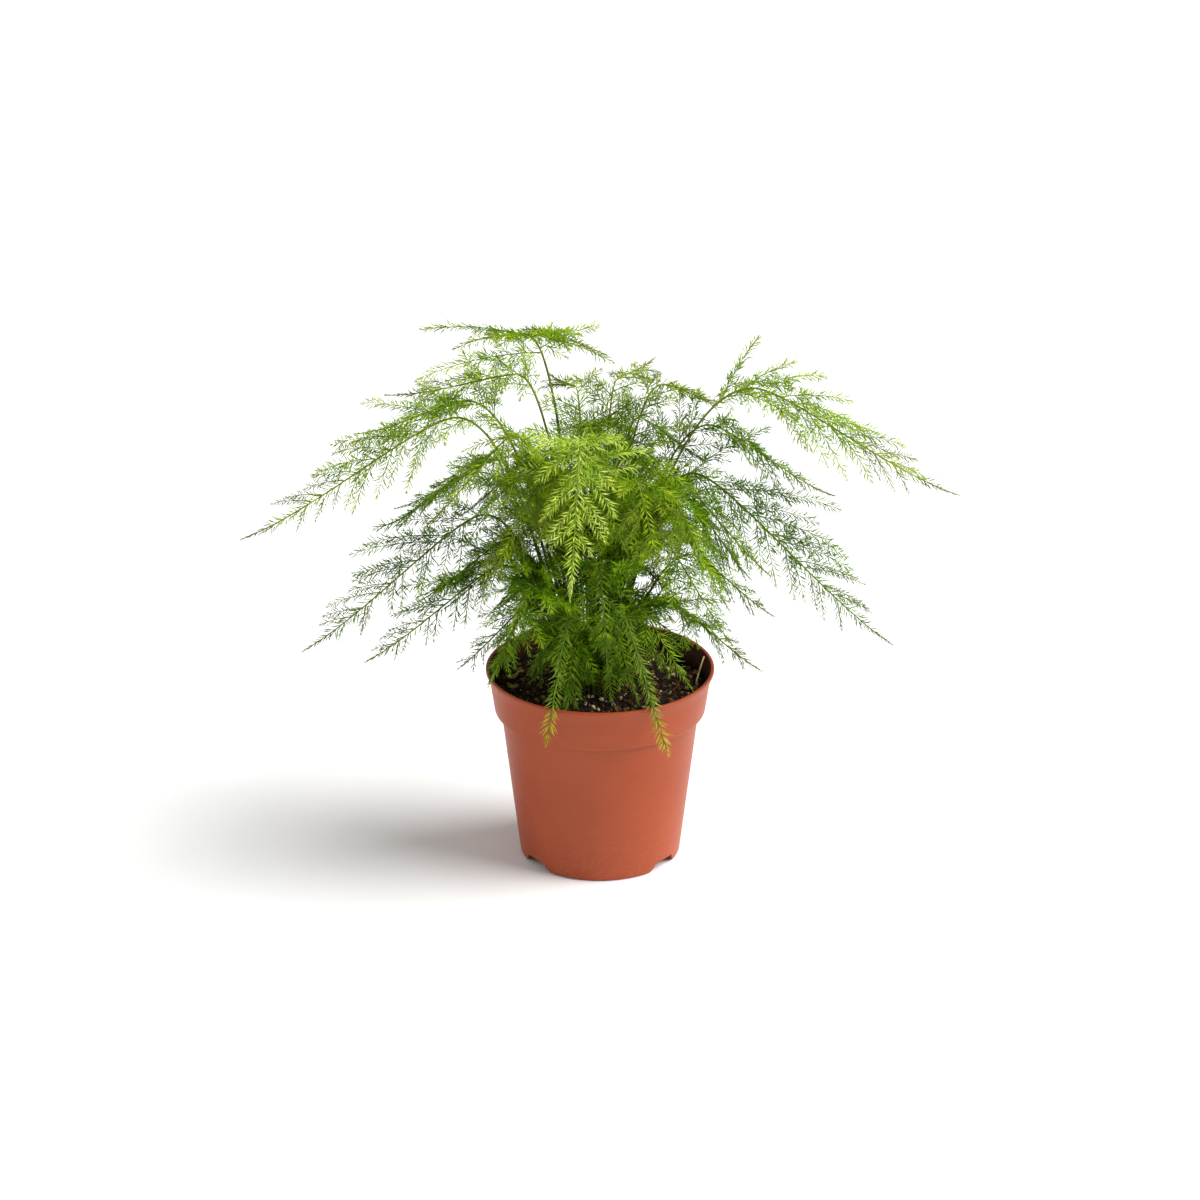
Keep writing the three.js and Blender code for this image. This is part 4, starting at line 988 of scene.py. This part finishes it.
def branches_of(route, bare, spread, opening, seed, fine):
    """The CAD model's branches, and one more across from each, which it leaves out."""
    draws = seeded_draws(seed)
    leafy = (1 - bare) * route.length
    count = math.floor(leafy / BRANCH_PITCH)
    found = []
    for k in range(count):
        share = (k + 0.5) / count
        at = bare * route.length + share * (leafy - NEEDLE)
        side = 1 if k % 2 == 0 else -1
        size = spread * (SHORTEST_DRAW + (LONGEST_DRAW - SHORTEST_DRAW) * next(draws))
        angle = opening + (BRANCH_TIP_ANGLE - opening) * share + ANGLE_DRAW * (next(draws) - 0.5)
        lift = LIFT_DRAW * (next(draws) - 0.5)
        if at > route.length - rat_tail(route, bare, spread):
            continue
        kinds = PLAIN_KINDS if share > PLAIN_SHARE else LEAFY_KINDS
        length = size * branch_share(share, side, route.roll)
        found.append(grown_branch(route, at, side, length, angle, lift, kinds))
        length = size * branch_share(share, -side, route.roll) * fine.uniform(*TWIN_LENGTH)
        at += fine.uniform(*TWIN_STEP)
        angle += fine.uniform(-TWIN_TURN, TWIN_TURN)
        lift += fine.uniform(-TWIN_LIFT, TWIN_LIFT)
        found.append(grown_branch(route, at, -side, length, angle, lift, kinds))
    return found


# A needle is a closed spindle: its root, the three corners of its belly and its point.
SPINDLE_FACES = ((2, 1, 0), (3, 2, 0), (1, 3, 0), (1, 2, 4), (2, 3, 4), (3, 1, 4))


def needle_tufts(growth, points, along, above, lean, length, finish, fine):
    """Grows a tuft of needles at each point, which lean off the wire."""
    turns = fine.uniform(0, 2 * np.pi, (len(points), 1))
    turns = turns + full_turn(NEEDLES_A_TUFT)
    turns = turns + fine.uniform(-NEEDLE_TURN, NEEDLE_TURN, turns.shape)
    across = unit(np.cross(along, above))
    outward = np.cross(across, along)
    flat = np.cos(turns)[..., None] * across[:, None]
    radial = unit(flat + NEEDLE_FLATTENING * np.sin(turns)[..., None] * outward[:, None])
    leans = np.radians(lean[:, None] + fine.uniform(-NEEDLE_SWAY, NEEDLE_SWAY, turns.shape))[..., None]
    way = unit(along[:, None] * np.cos(leans) + radial * np.sin(leans)).reshape(-1, 3)
    lengths = (length[:, None] * fine.uniform(*NEEDLE_DRAW, turns.shape)).reshape(-1, 1)
    wire = np.repeat(along, NEEDLES_A_TUFT, axis=0)
    roots = np.repeat(points, NEEDLES_A_TUFT, axis=0)
    roots = roots + wire * fine.uniform(-NEEDLE_SHIFT, NEEDLE_SHIFT, (len(roots), 1))
    first = unit(np.cross(way, wire + NUDGE))
    second = np.cross(way, first)
    half = lengths * NEEDLE_BREADTH / 2
    belly = roots + way * lengths * NEEDLE_BELLY
    corners = [roots, belly + first * half]
    corners += [belly - first * half / 2 + second * half * side for side in (SINE_60, -SINE_60)]
    corners += [roots + way * lengths]
    start = np.arange(len(roots))[:, None] * len(corners)
    triangles = np.concatenate([start + np.array(face) for face in SPINDLE_FACES])
    growth.add(np.stack(corners, axis=1).reshape(-1, 3), triangles, finish)


def grow_tufts(growth, line, above, tufts, tip, leans, sizes, kinds, fine):
    """Grows tufts at distances along a line. Over its tip their needles close up and shorten."""
    left_over = np.minimum(1, (line.length - tufts) / tip)
    lean, size = (np.interp(left_over, (0, 1), ends) for ends in (leans, sizes))
    points, along = line.point(tufts), line.tangent(tufts)
    for kind in (TIP_NEEDLES, ROOT_NEEDLES, TAIL_NEEDLES):
        chosen = kinds == kind
        if chosen.any():
            needle_tufts(growth, points[chosen], along[chosen], above, lean[chosen], size[chosen], kind, fine)


def grow_twig(growth, twig, radii, sides, tufts_from, young_from, fine):
    """Grows the wire of a branch and its tufts, which are young beyond a distance."""
    stops = np.linspace(0, twig.length, max(3, int(twig.length / TWIG_STEP) + 2))
    tube(growth, twig.point(stops), np.linspace(*radii, len(stops)), sides, twig.above, WIRE)
    plain = twig.kinds == PLAIN_KINDS
    pitch, needle = (PLAIN_TUFT_PITCH, PLAIN_NEEDLE) if plain else (TUFT_PITCH, TWIG_NEEDLE)
    tufts = np.append(np.arange(tufts_from, twig.length, pitch), twig.length)
    kinds = np.where(tufts > young_from, twig.kinds[1], twig.kinds[0])
    grow_tufts(growth, twig, twig.above, tufts, TWIG_TIP, TWIG_LEAN, needle, kinds, fine)


def grow_branch(growth, branch, fine):
    """A side branch with its branchlets, which are longest near its root. Plain ones have none."""
    grow_twig(growth, branch, BRANCH_RADII, BRANCH_SIDES, BRANCH_TUFTS, YOUNG_FROM * branch.length, fine)
    if branch.kinds == PLAIN_KINDS:
        return
    side = 1 if fine.uniform() < 0.5 else -1
    least, growing = BRANCHLET_LENGTH
    opening, closing = BRANCHLET_ANGLE
    branchlets_to = BRANCHLET_SHARE * branch.length
    for at in np.arange(BRANCHLETS_FROM, branchlets_to, BRANCHLET_PITCH):
        side = -side
        length = (growing * (branchlets_to - at) + least) * fine.uniform(*BRANCHLET_DRAW)
        length = min(LONGEST_BRANCHLET, length)
        if length < SHORTEST_BRANCHLET:
            continue
        along = branch.tangent(at)
        across = unit(np.cross(branch.above, along)) * side
        angle = opening - closing * at / branch.length + fine.uniform(-BRANCHLET_SWAY, BRANCHLET_SWAY)
        lift = fine.uniform(-BRANCHLET_LIFT, BRANCHLET_LIFT)
        heading = leaning(along, across, branch.above, angle, lift)
        branchlet = Branch(branch.point(at), heading, length, branch.above, branch.kinds)
        young_from = BRANCHLET_YOUNG_FROM * length if at < 0.5 * branch.length else 0.0
        grow_twig(growth, branchlet, BRANCHLET_RADII, BRANCHLET_SIDES, BRANCHLET_TUFTS, young_from, fine)


def grow_scales(growth, route, bare, fine):
    """Small papery scale leaves up the bare stem."""
    distances = np.arange(SCALE_FROM, bare * route.length, SCALE_PITCH)
    for distance in distances + fine.uniform(-SCALE_SHIFT, SCALE_SHIFT):
        along = route.tangent(distance)
        across = unit(np.cross(along, fine.uniform(-1, 1, 3)))
        root = route.point(distance) + across * STEM_RADII[1]
        wide = np.cross(along, across) * SCALE_HALF_WIDTH
        apex = root + along * SCALE_LENGTH + across * SCALE_SPLAY
        points = [root + wide, root - wide, root + across * SCALE_BULGE, apex]
        growth.add(points, ((0, 2, 3), (2, 1, 3), (1, 0, 3), (0, 1, 2)), SCALE)


def build_frond(seed, name, finish, row):
    *line, bare, spread, opening = row
    fine = np.random.default_rng(100 + seed)
    route = Route(*line)
    growth = Growth()
    leafy_from = bare * route.length
    _, left, _ = route.axes(0.5 * route.length)
    stem = (-STEM_BURIED, leafy_from, STEM_SIDES, STEM)
    rachis = (leafy_from, route.length, RACHIS_SIDES, WIRE)
    for start, end, sides, wood in (stem, rachis):
        distances = np.linspace(start, end, int((end - start) / STEM_STEP))
        radii = np.interp(distances, [0, leafy_from, route.length], STEM_RADII)
        tube(growth, route.point(distances), radii, sides, left, wood)
    grow_scales(growth, route, bare, fine)
    for branch in branches_of(route, bare, spread, opening, seed, fine):
        grow_branch(growth, branch, fine)
    tail_from = route.length - rat_tail(route, bare, spread) - TAIL_OVERLAP
    rachis_tufts = np.arange(leafy_from, tail_from, RACHIS_TUFT_PITCH)
    tufts = np.concatenate([rachis_tufts, np.arange(tail_from, route.length, TUFT_PITCH), [route.length]])
    _, _, above = route.axes(route.length - FROND_TIP / 2)
    tip = FEATHER_TIP if spread <= FEATHER_SPREAD else FROND_TIP
    kinds = np.where(tufts > route.length - FADED_TIP, TAIL_NEEDLES, TIP_NEEDLES)
    grow_tufts(growth, route, above, tufts, tip, FROND_LEAN, FROND_NEEDLE, kinds, fine)
    node = f"frond_{name}"
    nodes = (node,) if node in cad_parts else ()
    growth.piece(f"lace_{name}", (*FOLIAGE[finish], SCALE_LEAF), "foliage", smooth=False, replaces=nodes)


def build_young_frond(group, number, seed):
    """One of the young fronds that fill the middle, which the CAD model leaves to the looks."""
    name, count, finishes, (first, last), *ranges = group
    draws = np.random.default_rng(seed)
    heading = first + (last - first) * (number + draws.uniform(0.1, 0.9)) / count
    foot, crest_out, crest_up, run, fall = (draws.uniform(*span) for span in ranges[:5])
    swing = draws.uniform(-YOUNG_SWING, YOUNG_SWING)
    bare, spread = (draws.uniform(*span) for span in ranges[5:])
    tip_up = max(YOUNG_LOWEST_TIP, crest_up - fall)
    line = (heading, foot, crest_out, crest_up, crest_out + run, tip_up, swing, 0)
    finish = finishes[number % len(finishes)]
    build_frond(seed, f"{name}_{number + 1}", finish, (*line, bare, spread, YOUNG_OPENING))


# Stage, light and camera
def build_stage():
    corners = [(x * FLOOR_HALF, y * FLOOR_HALF, 0) for x, y in ((-1, -1), (1, -1), (1, 1), (-1, 1))]
    mesh = new_mesh("studio_floor", corners, [(0, 1, 2, 3)])
    mesh.materials.append(studio_paper())
    floor = put("studio_floor", mesh)


def add_lamp(name, energy, degrees_wide, towards):
    """A soft light so far off that it shines from one direction, which towards points to."""
    sun = bpy.data.lights.new(name, "SUN")
    sun.energy = energy
    sun.angle = math.radians(degrees_wide)
    put(name, sun).rotation_euler = Vector(towards).to_track_quat("Z", "Y").to_euler()


def build_light():
    """One wide softbox from the right at half height, a weak reflector on the left, and an even fill."""
    add_lamp("softbox", energy=4.8, degrees_wide=52, towards=(1.16, -0.08, 1.16))
    add_lamp("reflector", energy=0.6, degrees_wide=50, towards=(-1.0, 0.1, 0.4))
    world = bpy.data.worlds.new("studio")
    world.use_nodes = True
    fill = world.node_tree.nodes["Background"]
    fill.inputs["Color"].default_value = linear("#FFFFFF")
    fill.inputs["Strength"].default_value = 0.38
    bpy.context.scene.world = world
    bpy.context.scene.view_settings.view_transform = "Standard"


def build_camera():
    """A long lens, above the level, aimed at the middle of the plant's height."""
    lens = bpy.data.cameras.new("camera")
    lens.sensor_width = SENSOR
    lens.lens = LENS
    target = Vector((0, 0, CAMERA_AIM * MM))
    elevation = math.radians(CAMERA_ELEVATION)
    camera = put("camera", lens)
    camera.location = target + Vector((0, -math.cos(elevation), math.sin(elevation))) * CAMERA_AWAY
    camera.rotation_euler = (target - camera.location).to_track_quat("-Z", "Y").to_euler()
    bpy.context.scene.camera = camera


build_camera()
build_light()
build_stage()
build_pot()
build_soil()
build_grains("perlite_grains", PERLITE, PERLITE_GRAINS, smallest=0.8, largest=2.9, sink=0.4, seed=7)
build_grains("peat_crumbs", PEAT_CRUMB, PEAT_CRUMBS, smallest=1.0, largest=4.2, sink=0.3, seed=8)
build_fibres()
build_straw()
build_twig()
for number, leaf in enumerate(CURLED_LEAVES, 1):
    build_curled_leaf(number, *leaf)
for seed, (name, finish, *row) in enumerate(FRONDS, 1):
    build_frond(seed, name, finish, row)
for order, group in enumerate(YOUNG_FRONDS):
    for number in range(group[1]):
        build_young_frond(group, number, 400 + 100 * order + number)
